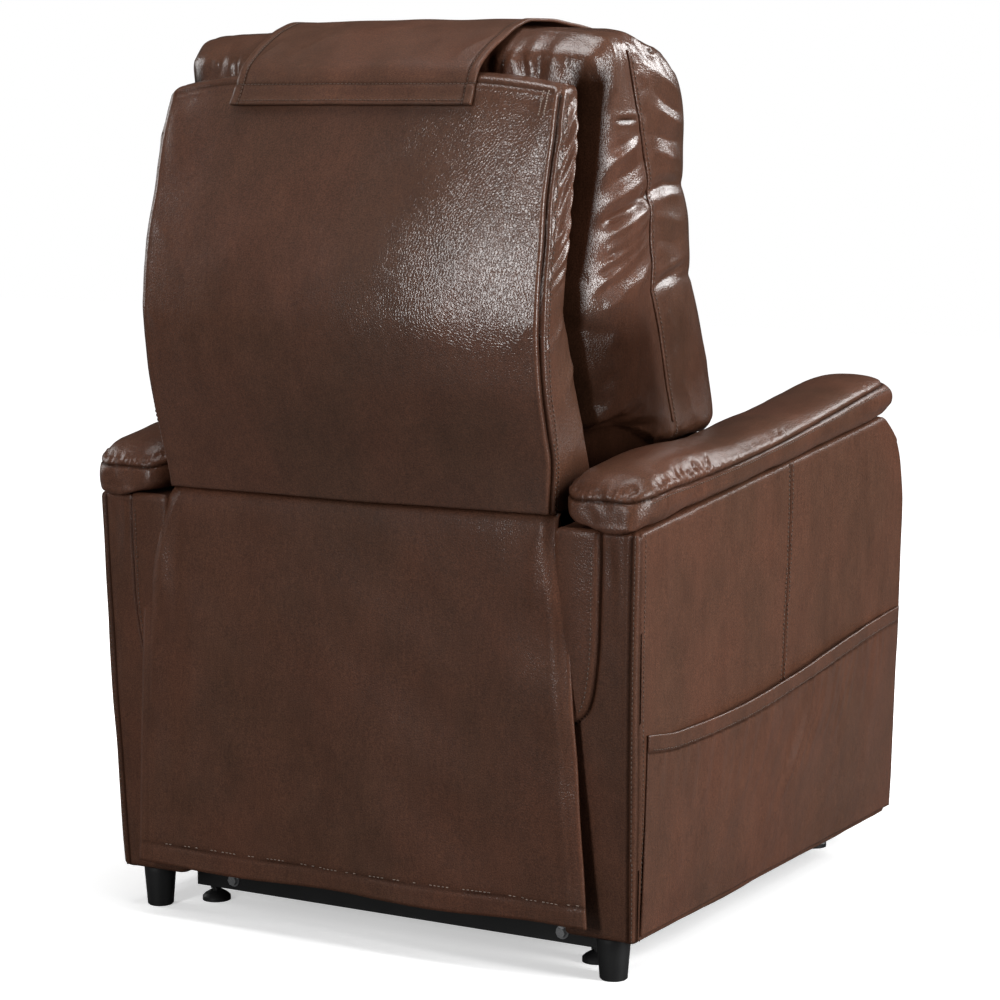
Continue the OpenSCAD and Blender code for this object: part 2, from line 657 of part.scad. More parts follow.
// The outer back's upper edge rises towards its middle
top_crown = 17;
function risen(z, v) = z + top_crown * smooth((z - 900) / (back_top_z - 900)) * (1 - pow(min(1, abs(v)), 3));
// One closed ring of the outer back at height z, drawn in by inset
function back_ring(z, inset, reach, tuck) =
    let (w = edge_w(z) - inset - tuck, rear = lookup(z, seam_back) + inset + tuck * 0.6,
         crown = bow(z) * (1 - tuck / 15),
         front = lookup(z, frame_front) + reach)
    concat([for (k = [-7:7]) let (u = k / 7, v = u * (1.6 - 0.6 * abs(u)))
                [v * w, leg_y - rear + crown * across_bow(v), risen(z, v)]],
           [[w + (inset > 0 ? 0 : 1), leg_y - mix(rear, front, 0.5), z], [w - 2, leg_y - front, z]],
           [for (v = [0.85, 0.5, 0, -0.5, -0.85]) [v * w, leg_y - front, risen(z, v)]],
           [[-w + 2, leg_y - front, z], [-w - (inset > 0 ? 0 : 1), leg_y - mix(rear, front, 0.5), z]]);
hollow_z = [seam_z - 2, 545, 581, 628, 675, 735, 790, 850, 900, 958, back_top_z - 12];
module back_panel() {
    outer_z = [seam_z, 535, 556, 581, 606, 628, 652, 675, 705, 735, 775, 818, 860, 900, 940, 970, 988,
               back_top_z];

    color("#3f2419") difference() {
        loft([for (z = outer_z) back_ring(z, 0, 0, 6 * smooth((z - back_top_z + 16) / 16))], true);
        loft([for (z = hollow_z) back_ring(z, back_wall, 30, 0)], true);
    }
}
module back_uprights() {
    // plywood sides cut to the curve of the back
    top_z = back_top_z - 15;
    front_z = [for (q = frame_front) if (q[0] >= 480 && q[0] < top_z) q[0]];
    rear_z = [for (z = hollow_z) if (z > seam_z && z < top_z) z];
    outer_x = upright_x + wood_t;
    color("#b98f5c") both() slab(upright_x, wood_t)
        polygon(concat([side([45, 452]), side([lookup(452, frame_front), 452])],
                       [for (z = front_z) side([lookup(z, frame_front), z])],
                       [side([lookup(top_z, frame_front), top_z]),
                        side([hollow_f(outer_x, top_z) + gap, top_z])],
                       [for (z = reversed(rear_z)) side([hollow_f(outer_x, z) + gap, z])]));
}
module back_rails() {
    function face(z) = lookup(z, frame_front) - 2;
    color("#b98f5c") {
        for (top = [[back_top_z - 17, 40, 14], [seam_z + 111, 40, 16], [pivot_p[1] + 80, 25, 18]])
            let (f = min(face(top[0]), face(top[0] - top[1])))
                block([-upright_x, upright_x], [f - top[2], f], [top[0] - top[1], top[0]]);
    }
}
module back_brackets() {
    color("#242427") both() slab(back_bracket_x, plate_t) difference() {
        union() {
            bar2d(pivot_p, [52, 470], 15);
            bar2d([52, 470], [10, 590], 13);
        }
        spot(pivot_p, stud_r + running);
    }
}

// ---------------------------------------------------------------- back cushion and head pillow
clear_r = 234;     // the cushion's wings stay this far from the back hinge, so they pass behind the arms
function wing(f, z) = min(smooth((norm([f, z] - pivot_p) - clear_r) / 26),
                          smooth((z - max(pad_seam(f), pad_seam(60)) - 44) / 28));
function channel(z, w) = exp(-pow((z - channels[0]) / w, 2)) + exp(-pow((z - channels[1]) / w, 2));
module back_cushion() {
    levels = [481.6, 487, 502, 530, 564, 590, 604, 618, 634, 652, 686, 720, 748, 764, 778, 792, 812, 830,
              854, 870, 884, 896, 926, 962, 994, 1030, 1048, 1058, 1061.4];
    color("#4a2c20") loft([for (z = levels)
        let (e = min(rounded_end(z - cushion_z[0], 50), rounded_end(cushion_z[1] - z, 46)),
             front = lookup(z, cushion_face), rear = lookup(z, frame_front) + gap,
             mid = (front + rear) / 2 + 14 * (1 - e), deep = (front - rear) / 2 * mix(0.35, 1, e))
        [for (k = [0:27])
            // square behind, rounded in front, where the channels fade towards the sides
            let (fore = k < 14, power = fore ? mix(5.8, 5.2, smooth((z - 720) / 120)) : 9,
                 q = squircle(k * 360 / 28, 1, deep, power), fade = 1 - 0.95 * pow(q[0], 4),
                 f = mid + q[1] - (fore ? channel_depth * channel(z, 13) * fade * q[1] / deep : 0),
                 wide = cushion_half_w + 1 - 27 * (1 - rounded_end(cushion_z[1] - z, 40)),
                 w = mix(cushion_low_w, wide, wing(f, z)) * (z < 700 ? mix(0.9, 1, e) : 1))
            [w * q[0], leg_y - f, z - 4 * pow(abs(q[0]), 3) * smooth((z - 1000) / 55)]]], true);
}
pillow_z = [838, 1010];
module head_pillow() {
    levels = [838.5, 846, 862, 890, 924, 958, 986, 1002, 1009.5];
    color("#4a2c20") loft([for (z = levels)
        let (e = min(rounded_end(z - pillow_z[0], 40), rounded_end(pillow_z[1] - z, 40)),
             t = 27 * mix(0.3, 1, e), mid = 346.5 - 0.13 * (z - pillow_z[0]))
        [for (k = [0:21]) let (q = squircle(k * 360 / 22, (strap_w / 2 + 6) * mix(0.9, 1, e), t, 3.2))
            [q[0], leg_y - mid - q[1], z]]], true);
}
module pillow_strap() {
    // weighted strap over the crest of the back, ending in a hem behind it
    path = [[331, 1010], [309, 1033], [275, 1052], [229, 1061.5], [178, 1066.5], [130, 1070], [88, 1069.5],
            [50, 1061], [18, 1046], [-8, 1031], [-28.5, 1015], [-40.6, 992], [-47.6, 974]];
    last = len(path) - 1;
    n = 7;
    // rows of the strap's under face, and the same rows moved 3 mm outward along the path's normal;
    // towards the hem they take up the outer back's bow
    function normal(i) = let (d = path[min(i + 1, last)] - path[max(i - 1, 0)]) [d[1], -d[0]] / norm(d);
    function row(i, t) = [for (j = [0:n - 1]) let (u = j / (n - 1) * 2 - 1, q = path[i] + t * normal(i))
        [u * strap_w / 2, leg_y - q[0] + 3.6 * smooth((10 - path[i][0]) / 45) * across_bow(u), q[1]]];
    color("#4a2c20")
        loft([for (i = [0:last]) concat(row(i, 0), [for (j = [n - 1:-1:0]) row(i, 3)[j]])], true);
}

// ---------------------------------------------------------------- footrest
module foot_bar(x, p, q, holes) {
    slab(x, foot_t) difference() {
        bar2d(p, q, foot_r);
        for (h = holes) spot(h, foot_stud + running);
    }
}
// studs of an a link reach inward through the b link's layer
module studs_a(spots) {
    for (p = spots) {
        slab(link_b_x - 0.6, link_a_x - link_b_x + 0.6) spot(p, foot_stud);
        slab(link_a_x + foot_t, 1.6) spot(p, foot_stud + 2);
    }
}
// studs of a b link reach inward through the mechanism plate's layer
module studs_b(spots) {
    for (p = spots) slab(mech_x - 0.6, link_b_x - mech_x + 0.6) spot(p, foot_stud);
}
module footrest_link_a1() {
    color("#2b2b2e") both() {
        foot_bar(link_a_x, tongs_root, tongs_u1, [tongs_root]);
        studs_a([tongs_m1, tongs_u1]);
    }
}
module footrest_link_b1() {
    color("#2b2b2e") both() {
        foot_bar(link_b_x, tongs_s1, tongs_t1, [tongs_m1, tongs_t1]);
        studs_b([tongs_s1]);
    }
}
module footrest_link_a2() {
    color("#2b2b2e") both() {
        foot_bar(link_a_x, tongs_t1, tongs_u2, []);
        studs_a([tongs_t1, tongs_m2, tongs_u2]);
    }
}
module footrest_link_b2() {
    color("#2b2b2e") both() {
        foot_bar(link_b_x, tongs_u1, tongs_t2, [tongs_u1, tongs_m2]);
        studs_b([tongs_t2]);
    }
}
module footrest_control_links() {
    color("#2b2b2e") both() {
        foot_bar(link_b_x, tongs_u2, tongs_k, [tongs_u2]);
        studs_b([tongs_k]);
    }
}
board_fwd = [650, 662];
board_z = [82, 322];
module footrest_brackets() {
    color("#2b2b2e") both() {
        slab(mech_x, plate_t) difference() {
            union() {
                bar2d(tongs_t2, tongs_k, foot_r + 1);
                bar2d(tongs_t2, tongs_t2 + [30, -8], foot_r + 1);
                polygon([for (p = [tongs_t2 + [0, foot_r + 1], [board_fwd[0], tongs_t2[1] + 5],
                                   [board_fwd[0], tongs_k[1]], tongs_k]) side(p)]);
            }
            spot(tongs_t2, foot_stud + running);
            spot(tongs_k, foot_stud + running);
            slab_cut();
        }
        block([mech_x - 16, mech_x], [board_fwd[0] - 4, board_fwd[0]], [tongs_k[1], tongs_t2[1] + 5]);
    }
}
module slab_cut() {
    translate([-board_fwd[0] - 40, 0]) square([40, 500]);
}
module footrest_board() {
    color("#b98f5c") block([-board_w / 2, board_w / 2], board_fwd, board_z);
}
module footrest_pad() {
    low = board_z[0] - 4;
    high = board_z[1] + 4;
    tall = high - low;
    steps = [0.4, 6, 18, 44, 85, 126, 167, 208, 232, 244, 249.6] * tall / 250;
    color("#4a2c20") loft([for (s = steps)
        let (z = low + s, e = min(rounded_end(s, 36), rounded_end(tall - s, 36)), t = 46 * mix(0.4, 1, e))
        [for (k = [0:21]) let (q = squircle(k * 360 / 22, (board_w / 2 + 6) * mix(0.965, 1, e), t / 2, 4))
            [q[0], leg_y - board_fwd[1] - gap - t / 2 - q[1]
                 - (q[1] > 0 ? 5 * e * (1 - pow(abs(q[0]) / (board_w / 2 + 6), 2)) : 0), z]]], true);
}

levelling_feet();
base_rear_tube();
base_front_tube();
base_rail_left();
base_rail_right();
base_bolts();
front_brackets();
side_brackets();
power_box();
lift_arm_left();
lift_arm_right();
torque_tube();
rear_link_left();
rear_link_right();
actuator_gearbox();
actuator_motor();
actuator_tube();
actuator_rod();
carriage_plate_left();
carriage_plate_right();
carriage_rear_tube();
carriage_front_tube();
motor_clevis();
mechanism_plate_left();
mechanism_plate_right();
seat_rail_left();
seat_rail_right();
seat_rail_front();
seat_rail_rear();
seat_springs();
seat_cushion();
seat_front_band();
arm_cover_left();
arm_cover_right();
arm_frame_left();
arm_frame_right();
arm_pad_left();
arm_pad_right();
side_pocket();
rear_legs();
back_flap();
back_uprights();
back_rails();
back_brackets();
back_panel();
back_cushion();
head_pillow();
pillow_strap();
footrest_link_a1();
footrest_link_b1();
footrest_link_a2();
footrest_link_b2();
footrest_control_links();
footrest_brackets();
footrest_board();
footrest_pad();
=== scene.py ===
import json
import math

import bpy
import numpy as np
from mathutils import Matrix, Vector
from mathutils.bvhtree import BVHTree


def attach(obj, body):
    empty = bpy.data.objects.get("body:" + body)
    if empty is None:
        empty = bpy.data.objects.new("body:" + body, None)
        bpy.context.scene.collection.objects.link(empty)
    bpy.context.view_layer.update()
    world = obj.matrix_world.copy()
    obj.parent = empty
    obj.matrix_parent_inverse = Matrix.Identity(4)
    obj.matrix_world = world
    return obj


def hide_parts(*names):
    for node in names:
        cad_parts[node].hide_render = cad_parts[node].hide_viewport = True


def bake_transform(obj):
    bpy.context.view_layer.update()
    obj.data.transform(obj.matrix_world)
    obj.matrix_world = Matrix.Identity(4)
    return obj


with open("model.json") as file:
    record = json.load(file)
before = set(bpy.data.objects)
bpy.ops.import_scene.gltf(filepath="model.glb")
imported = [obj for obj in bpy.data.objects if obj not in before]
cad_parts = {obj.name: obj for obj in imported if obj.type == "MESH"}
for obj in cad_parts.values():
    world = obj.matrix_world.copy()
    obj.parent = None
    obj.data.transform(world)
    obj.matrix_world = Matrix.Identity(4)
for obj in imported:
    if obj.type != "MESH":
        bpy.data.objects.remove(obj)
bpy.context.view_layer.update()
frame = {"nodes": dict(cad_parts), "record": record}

# Power lift recliner. The forms are worked out in millimetres as [x, forward, height], where forward
# runs from the centre line of the rear legs towards the sitter's feet, and turned to metres at the end.
LEG_Y = 306.6
SEAT_HALF = 262.0
PANEL_LOW, PANEL_TOP = 529, 997    # heights of the outer back's seam and of its top corners
CHANNELS = (778, 884)              # heights of the back cushion's sewn channels
CUSHION_SIDE = 284                 # half width of the back cushion at its gussets
RECLINE_PIVOT = (80, 400)          # forward and height
ARM_LOW = 49.0
HEM_LINE = 528.7                   # height at which the flap hangs
SIDES = {-1: "right", 1: "left"}   # the sitter's


# ---------------------------------------------------------------- numbers
def smooth(t):
    t = np.clip(t, 0, 1)
    return t * t * (3 - 2 * t)


def mix(a, b, t):
    return a + (b - a) * t


def bell(d, width):
    return np.exp(-((d / width) ** 2))


def table(rows):
    """Smooth monotone curve through [[x, y], ...]."""
    x, y = np.array(rows, float).T
    h, d = np.diff(x), np.diff(y) / np.diff(x)
    m = np.zeros_like(x)
    m[0], m[-1] = d[0], d[-1]
    for i in range(1, len(x) - 1):
        if d[i - 1] * d[i] > 0:
            a, b = 2 * h[i] + h[i - 1], h[i] + 2 * h[i - 1]
            m[i] = (a + b) / (a / d[i - 1] + b / d[i])

    def value(q):
        q = np.clip(q, x[0], x[-1])
        i = np.clip(np.searchsorted(x, q, side="right") - 1, 0, len(h) - 1)
        t = (q - x[i]) / h[i]
        return (
            y[i] * (1 + 2 * t) * (1 - t) ** 2
            + h[i] * m[i] * t * (1 - t) ** 2
            + y[i + 1] * t * t * (3 - 2 * t)
            + h[i] * m[i + 1] * t * t * (t - 1)
        )

    return value


def squared(c, power):
    """A cosine or sine bent towards a square: the lower the power, the squarer."""
    return np.sign(c) * np.abs(c) ** power


def rounded_end(d, r):
    """From 0 at the end of a rounding of radius r to 1 at depth d = r and beyond."""
    return np.sqrt(np.clip(1 - (np.clip(r - d, 0, r) / r) ** 2, 0, 1))


def ripple(p, length, seed):
    """Smooth noise from -1 to 1 over points in millimetres, its bumps about length apart."""
    rng = np.random.default_rng(seed)
    out = np.zeros(len(p))
    for _ in range(7):
        k = rng.normal(size=3)
        k *= 2 * math.pi / (length * rng.uniform(0.7, 1.5) * np.linalg.norm(k))
        out += np.sin(p @ k + rng.uniform(0, 6.28))
    return out / 3.5


def unit(v):
    return v / np.maximum(np.linalg.norm(v, axis=1), 1e-9)[:, None]


def arch(t):
    """Up from 0 to 1 and back while t runs from 0 to 1."""
    return np.sin(math.pi * np.clip(t, 0, 1))


def rounding_in(a, b, n):
    return 1 - np.cos(np.linspace(a, b, n) * math.pi / 2)


def rounding_out(a, b, n):
    return np.sin(np.linspace(a, b, n) * math.pi / 2)


def circle(n):
    a = np.linspace(0, 2 * math.pi, n, endpoint=False)
    return np.cos(a), np.sin(a)


def xyz(x, f, z):
    """Points from their three coordinates, each an array or one number."""
    return np.stack(np.broadcast_arrays(x, f, z), -1)


# ---------------------------------------------------------------- meshes
def place(p):
    p = np.asarray(p, float)
    return xyz(p[..., 0], LEG_Y - p[..., 1], p[..., 2]) / 1000


def unplace(v):
    v = np.asarray(v, float) * 1000
    return xyz(v[..., 0], LEG_Y - v[..., 1], v[..., 2])


def strip_faces(m, n, wrap):
    i, j = np.meshgrid(np.arange(m - 1), np.arange(n if wrap else n - 1), indexing="ij")
    a, b = i * n + j, i * n + (j + 1) % n
    return np.stack([a, b, b + n, a + n], -1).reshape(-1, 4)


def loft(rings, cap=None):
    """Closed skin of rings[m, n, 3]. Its ends close in fans, or the last one in the polygons of cap:
    (points, faces)."""
    rings = np.asarray(rings, float)
    m, n = rings.shape[:2]
    p = np.concatenate([rings.reshape(-1, 3), [rings[0].mean(0)]])
    j = np.arange(n)
    k = (j + 1) % n
    faces = strip_faces(m, n, True).tolist() + np.stack([np.full(n, m * n), k, j], -1).tolist()
    if cap is None:
        p = np.concatenate([p, [rings[-1].mean(0)]])
        faces += np.stack([np.full(n, m * n + 1), (m - 1) * n + j, (m - 1) * n + k], -1).tolist()
    else:
        faces += [[(m - 1) * n + int(i) for i in row] for row in cap]
    return p, faces


def cloth(grid, thick):
    """Closed sheet: grid[m, n, 3] and a copy moved by thick[m, n, 3] or a vector."""
    grid = np.asarray(grid, float)
    m, n = grid.shape[:2]
    p = np.concatenate([grid.reshape(-1, 3), (grid + thick).reshape(-1, 3)])
    top = strip_faces(m, n, False)
    o = m * n
    rim = np.concatenate([np.arange(n), np.arange(1, m) * n + n - 1,
                          (m - 1) * n + np.arange(n - 2, -1, -1), np.arange(m - 2, 0, -1) * n])
    nxt = np.roll(rim, -1)
    return p, np.concatenate([top, top[:, ::-1] + o, np.stack([nxt, rim, rim + o, nxt + o], -1)]).tolist()


def mesh_of(name, form):
    v = place(form[0])
    me = bpy.data.meshes.new(name)
    me.from_pydata(v.tolist(), [], form[1])
    me.calc_loop_triangles()
    t = np.zeros(len(me.loop_triangles) * 3, int)
    me.loop_triangles.foreach_get("vertices", t)
    a, b, c = (v[t.reshape(-1, 3)[:, i]] for i in range(3))
    if np.einsum("ij,ij->i", a, np.cross(b, c)).sum() < 0:
        me.flip_normals()
    me.polygons.foreach_set("use_smooth", np.ones(len(me.polygons), bool))
    me.update()
    ob = bpy.data.objects.new(name, me)
    bpy.context.collection.objects.link(ob)
    return ob


def points(ob):
    v = np.zeros(len(ob.data.vertices) * 3)
    ob.data.vertices.foreach_get("co", v)
    return unplace(v.reshape(-1, 3))


def set_points(ob, p):
    ob.data.vertices.foreach_set("co", place(p).ravel())
    ob.data.update()


def normals(ob):
    n = np.zeros(len(ob.data.vertices) * 3)
    ob.data.vertices.foreach_get("normal", n)
    n = n.reshape(-1, 3)
    return xyz(n[:, 0], -n[:, 1], n[:, 2])


def push(ob, amount):
    """Moves each point along its normal by amount millimetres."""
    set_points(ob, points(ob) + normals(ob) * np.asarray(amount)[:, None])


def shade(ob, painted_shade):
    """Keeps the painted shade of each point, deepest in seams, grooves and gaps, for the leather to darken
    and lose its gloss there.
    """
    a = ob.data.attributes.get("painted_shade") or ob.data.attributes.new("painted_shade", "FLOAT", "POINT")
    a.data.foreach_set("value", np.clip(painted_shade, 0, 1).astype(np.float32))


def shade_cloth(ob, painted_shade):
    """The same for a sheet, whose two faces have their points in the same order."""
    shade(ob, np.concatenate([painted_shade.ravel(), painted_shade.ravel()]))


def near(p, path):
    """(distance to the polyline path, place along it from 0 to 1) of each point."""
    path = np.asarray(path, float)
    best, along = np.full(len(p), 1e9), np.zeros(len(p))
    length = np.linalg.norm(np.diff(path, axis=0), axis=1)
    done, total = 0.0, length.sum()
    for a, b, l in zip(path[:-1], path[1:], length):
        t = np.clip((p - a) @ (b - a) / max(l * l, 1e-9), 0, 1)
        d = np.linalg.norm(p - a - t[:, None] * (b - a), axis=1)
        closer = d < best
        best[closer], along[closer] = d[closer], ((done + t * l) / total)[closer]
        done += l
    return best, along


def creases(p, folds):
    """Height of a set of folds at points p: each fold is [path, height, width], its ridge sharper than a
    bell, and fades at its ends."""
    out = np.zeros(len(p))
    for path, height, width in folds:
        q = np.asarray(path, float)
        low, high = q.min(0) - 4.2 * width, q.max(0) + 4.2 * width
        sel = np.flatnonzero(((p > low) & (p < high)).all(1))
        if len(sel):
            d, t = near(p[sel], q)
            ridge = 1.42 * np.exp(-np.sqrt((d / width) ** 2 + 0.12)) * smooth(4.2 - d / width)
            out[sel] += height * ridge * np.sin(math.pi * np.clip(t, 0.02, 0.98)) ** 0.55
    return out


def pleat(path, height, width, lean):
    """A ridge with a hollow beside it, on the side that lean points to."""
    q = np.asarray(path, float)
    return [[q, height, width], [q + np.asarray(lean, float), -0.85 * height, 0.85 * width]]


def seam(p, path, depth=2.2, width=2.6, lip=0.7):
    """(height, painted shade) of a sewn seam along path: a narrow groove between two soft lips, with shade
    painted into the groove.
    """
    q = np.asarray(path, float)
    reach = 6 * width
    out, painted_shade = np.zeros(len(p)), np.zeros(len(p))
    sel = np.flatnonzero(((p > q.min(0) - reach) & (p < q.max(0) + reach)).all(1))
    if len(sel):
        d, _ = near(p[sel], q)
        out[sel] = lip * bell(d - 2.4 * width, 1.6 * width) - depth * bell(d, width)
        painted_shade[sel] = bell(d, 1.1 * width)
    return out, painted_shade


def sew(p, out, painted_shade, path, depth, width, lip, dark):
    """Adds one seam to the heights out and its painted shade to the points p."""
    h, t = seam(p, path, depth, width, lip)
    out += h
    np.maximum(painted_shade, dark * t, out=painted_shade)


def sided(sg, rows):
    """Folds or seams given for the sitter's left side, each [path, ...], for side sg."""
    return [[np.array(path) * [sg, 1, 1], *rest] for path, *rest in rows]


def apply_modifiers(ob):
    me = bpy.data.meshes.new_from_object(ob.evaluated_get(bpy.context.evaluated_depsgraph_get()))
    ob.modifiers.clear()
    old, ob.data = ob.data, me
    bpy.data.meshes.remove(old)


def remeshed(ob, voxel):
    """ob's mesh rebuilt from even quads of voxel millimetres."""
    m = ob.modifiers.new("even", "REMESH")
    m.mode, m.voxel_size, m.use_smooth_shade = "VOXEL", voxel / 1000, True
    apply_modifiers(ob)


def subdivided(ob):
    m = ob.modifiers.new("fine", "SUBSURF")
    m.levels = m.render_levels = 1
    apply_modifiers(ob)
    ob.data.polygons.foreach_set("use_smooth", np.ones(len(ob.data.polygons), bool))


def inflate(ob, voxel, cap, pressure=4.0, held=None, bend=1.0):
    """Even mesh, swelled by cloth pressure. No point moves further than cap millimetres, and points where
    held(points) is 1 stay put. One subdivision follows."""
    remeshed(ob, voxel)
    start = points(ob)
    if held is not None:
        group = ob.vertex_groups.new(name="held")
        weight = np.clip(held(start), 0, 1)
        for level in (0.25, 0.5, 0.75, 1.0):
            at = np.flatnonzero(np.abs(weight - level) <= 0.125)
            if len(at):
                group.add(at.tolist(), level, "REPLACE")
    m = ob.modifiers.new("cloth", "CLOTH")
    s = m.settings
    s.quality = 5
    s.mass = 0.3
    s.tension_stiffness = s.compression_stiffness = 12
    s.shear_stiffness = 5
    s.bending_stiffness = bend
    s.use_pressure = True
    s.uniform_pressure_force = pressure
    s.effector_weights.gravity = 0
    if held is not None:
        s.vertex_group_mass = "held"
        s.pin_stiffness = 1.0
    m.point_cache.frame_start, m.point_cache.frame_end = 1, 20
    for f in range(1, 21):
        bpy.context.scene.frame_set(f)
    done = ob.evaluated_get(bpy.context.evaluated_depsgraph_get()).to_mesh()
    v = np.zeros(len(done.vertices) * 3)
    done.vertices.foreach_get("co", v)
    end = unplace(v.reshape(-1, 3))
    ob.modifiers.clear()
    ob.vertex_groups.clear()
    bpy.context.scene.frame_set(1)
    move = end - start
    far = np.linalg.norm(move, axis=1)
    move *= (np.minimum(far, cap) / np.maximum(far, 1e-9))[:, None]
    set_points(ob, start + move)
    subdivided(ob)


# ---------------------------------------------------------------- materials
def material(name):
    m = bpy.data.materials.new(name)
    m.use_nodes = True
    t = m.node_tree
    return m, t, t.nodes["Principled BSDF"]


def node(t, kind, **values):
    n = t.nodes.new(kind)
    for k, v in values.items():
        if hasattr(n, k):
            setattr(n, k, v)
        else:
            n.inputs[k.replace("_", " ")].default_value = v
    return n


def object_coords(t, scale=(1, 1, 1), turn=(0, 0, 0)):
    c = node(t, "ShaderNodeTexCoord")
    m = node(t, "ShaderNodeMapping")
    m.inputs["Scale"].default_value = scale
    m.inputs["Rotation"].default_value = turn
    t.links.new(c.outputs["Object"], m.inputs["Vector"])
    return m.outputs["Vector"]


def ramp(t, source, stops):
    r = node(t, "ShaderNodeValToRGB")
    e = r.color_ramp.elements
    while len(e) < len(stops):
        e.new(0.5)
    for stop, (at, colour) in zip(e, stops):
        stop.position = at
        stop.color = (*colour, 1) if hasattr(colour, "__len__") else (colour, colour, colour, 1)
    t.links.new(source, r.inputs["Fac"])
    return r.outputs["Color"]


def mixed(t, kind, fac, a, b):
    n = node(t, "ShaderNodeMix", data_type="RGBA", blend_type=kind)
    for sock, v in ((n.inputs[0], fac), (n.inputs[6], a), (n.inputs[7], b)):
        if isinstance(v, (int, float)):
            sock.default_value = v
        elif isinstance(v, tuple):
            sock.default_value = (*v, 1)
        else:
            t.links.new(v, sock)
    return n.outputs[2]


def noise(t, scale, detail, roughness, stretch=(1, 1, 1), **more):
    n = node(t, "ShaderNodeTexNoise", Scale=scale, Detail=detail, Roughness=roughness, **more)
    t.links.new(object_coords(t, stretch), n.inputs["Vector"])
    return n.outputs["Fac"]


def bump(t, height, strength, distance, under=None):
    n = node(t, "ShaderNodeBump", Strength=strength, Distance=distance)
    t.links.new(height, n.inputs["Height"])
    if under is not None:
        t.links.new(under, n.inputs["Normal"])
    return n.outputs["Normal"]


def feed(t, shader, values):
    """Sets or links the shader's inputs by name."""
    for name, v in values.items():
        if isinstance(v, float):
            shader.inputs[name].default_value = v
        else:
            t.links.new(v, shader.inputs[name])


def leather(name, warm, cool, dark, rough=(0.42, 0.48), coat=0.75, gloss=0.13):
    """Dark brown bonded leather: cloudy antique mottling, rubbed streaks, pebble grain, and painted shade
    from the points, which darkens the colour and takes away the gloss.
    """
    m, t, b = material(name)
    colour = ramp(t, noise(t, 7.0, 3.0, 0.5, (1, 1, 0.75)), [(0.36, dark), (0.50, cool), (0.64, warm)])
    mid = noise(t, 26.0, 5.0, 0.62, (1, 1, 0.6))
    streak = noise(t, 260.0, 3.0, 0.6, (1, 1, 0.22))
    fleck = noise(t, 640.0, 1.0, 0.5)
    # painted shade: the colour darkens to 0.12 of itself where a point holds full shade
    painted_shade = node(t, "ShaderNodeAttribute", attribute_name="painted_shade").outputs["Fac"]
    for source, stops in ((mid, [(0.30, 0.84), (0.66, 1.08)]), (streak, [(0.30, 0.90), (0.68, 1.10)]),
                          (fleck, [(0.32, 0.74), (0.68, 1.24)]), (painted_shade, [(0.0, 1.0), (1.0, 0.12)])):
        colour = mixed(t, "MULTIPLY", 1.0, colour, ramp(t, source, stops))
    pebble = node(t, "ShaderNodeTexVoronoi", feature="DISTANCE_TO_EDGE", Scale=320.0)
    t.links.new(object_coords(t, (1, 1, 1), (0.3, 0.2, 0.5)), pebble.inputs["Vector"])
    rise = ramp(t, pebble.outputs["Distance"], [(0.0, 0.0), (0.26, 1.0)])
    grain = mixed(t, "MIX", 0.35, rise, noise(t, 900.0, 2.0, 0.6))
    normal = bump(t, grain, 0.30, 0.0006, bump(t, noise(t, 38.0, 2.0, 0.5), 0.14, 0.004))
    # the painted shade also takes the coat and specular gloss away in the gaps and seams
    feed(t, b, {"Base Color": colour, "Normal": normal, "Coat Normal": normal, "Coat Roughness": gloss,
                "Roughness": ramp(t, mid, [(0.32, rough[0]), (0.68, rough[1])]),
                "Coat Weight": ramp(t, painted_shade, [(0.0, coat), (0.9, 0.0)]),
                "Specular IOR Level": ramp(t, painted_shade, [(0.0, 0.20), (0.9, 0.0)])})
    return m


def speckled(name, colour, second, rough, scale, relief=0.2, metal=0.0):
    """Paint, plating or moulded plastic: two close colours in fine noise, with a slight texture."""
    m, t, b = material(name)
    fine, wide = noise(t, scale, 3.0, 0.6), noise(t, 14.0, 4.0, 0.6)
    base = ramp(t, fine, [(0.35, colour), (0.7, second)])
    feed(t, b, {"Base Color": mixed(t, "MULTIPLY", 0.5, base, ramp(t, wide, [(0.3, 0.75), (0.7, 1.1)])),
                "Roughness": ramp(t, wide, [(0.3, rough - 0.06), (0.7, rough + 0.08)]),
                "Normal": bump(t, fine, relief, 0.0004), "Metallic": metal})
    return m


def plywood(name):
    m, t, b = material(name)
    veins = noise(t, 9.0, 5.0, 0.6, (9, 9, 1), Distortion=0.6)
    layers = node(t, "ShaderNodeTexWave", Scale=110.0, Distortion=0.4)
    t.links.new(object_coords(t), layers.inputs["Vector"])
    base = ramp(t, veins, [(0.3, (0.40, 0.25, 0.12)), (0.7, (0.62, 0.44, 0.25))])
    feed(t, b, {"Base Color": mixed(t, "MULTIPLY", 0.25, base, layers.outputs["Color"]),
                "Roughness": ramp(t, veins, [(0.3, 0.55), (0.7, 0.75)]),
                "Normal": bump(t, veins, 0.25, 0.0006)})
    return m


WARM, COOL, DARK = (0.092, 0.0355, 0.0195), (0.085, 0.0345, 0.0192), (0.076, 0.0325, 0.0180)
hide = leather("leather", WARM, COOL, DARK)
flat_hide = leather("leather_taut", WARM, COOL, DARK, (0.50, 0.56), 0.16)
pad_hide = leather("leather_worn", WARM, COOL, DARK, (0.44, 0.50), 0.36, 0.21)
thread_mat = speckled("thread", (0.050, 0.028, 0.018), (0.10, 0.06, 0.04), 0.5, 900.0)
pale_thread = speckled("pale_thread", (0.16, 0.11, 0.085), (0.34, 0.27, 0.22), 0.45, 900.0)
steel_black = speckled("black_powder_coat", (0.006, 0.006, 0.0065), (0.012, 0.012, 0.0125), 0.42, 1400.0,
                       0.35)
plastic_black = speckled("black_plastic", (0.006, 0.006, 0.0062), (0.010, 0.010, 0.0105), 0.44, 700.0, 0.22)
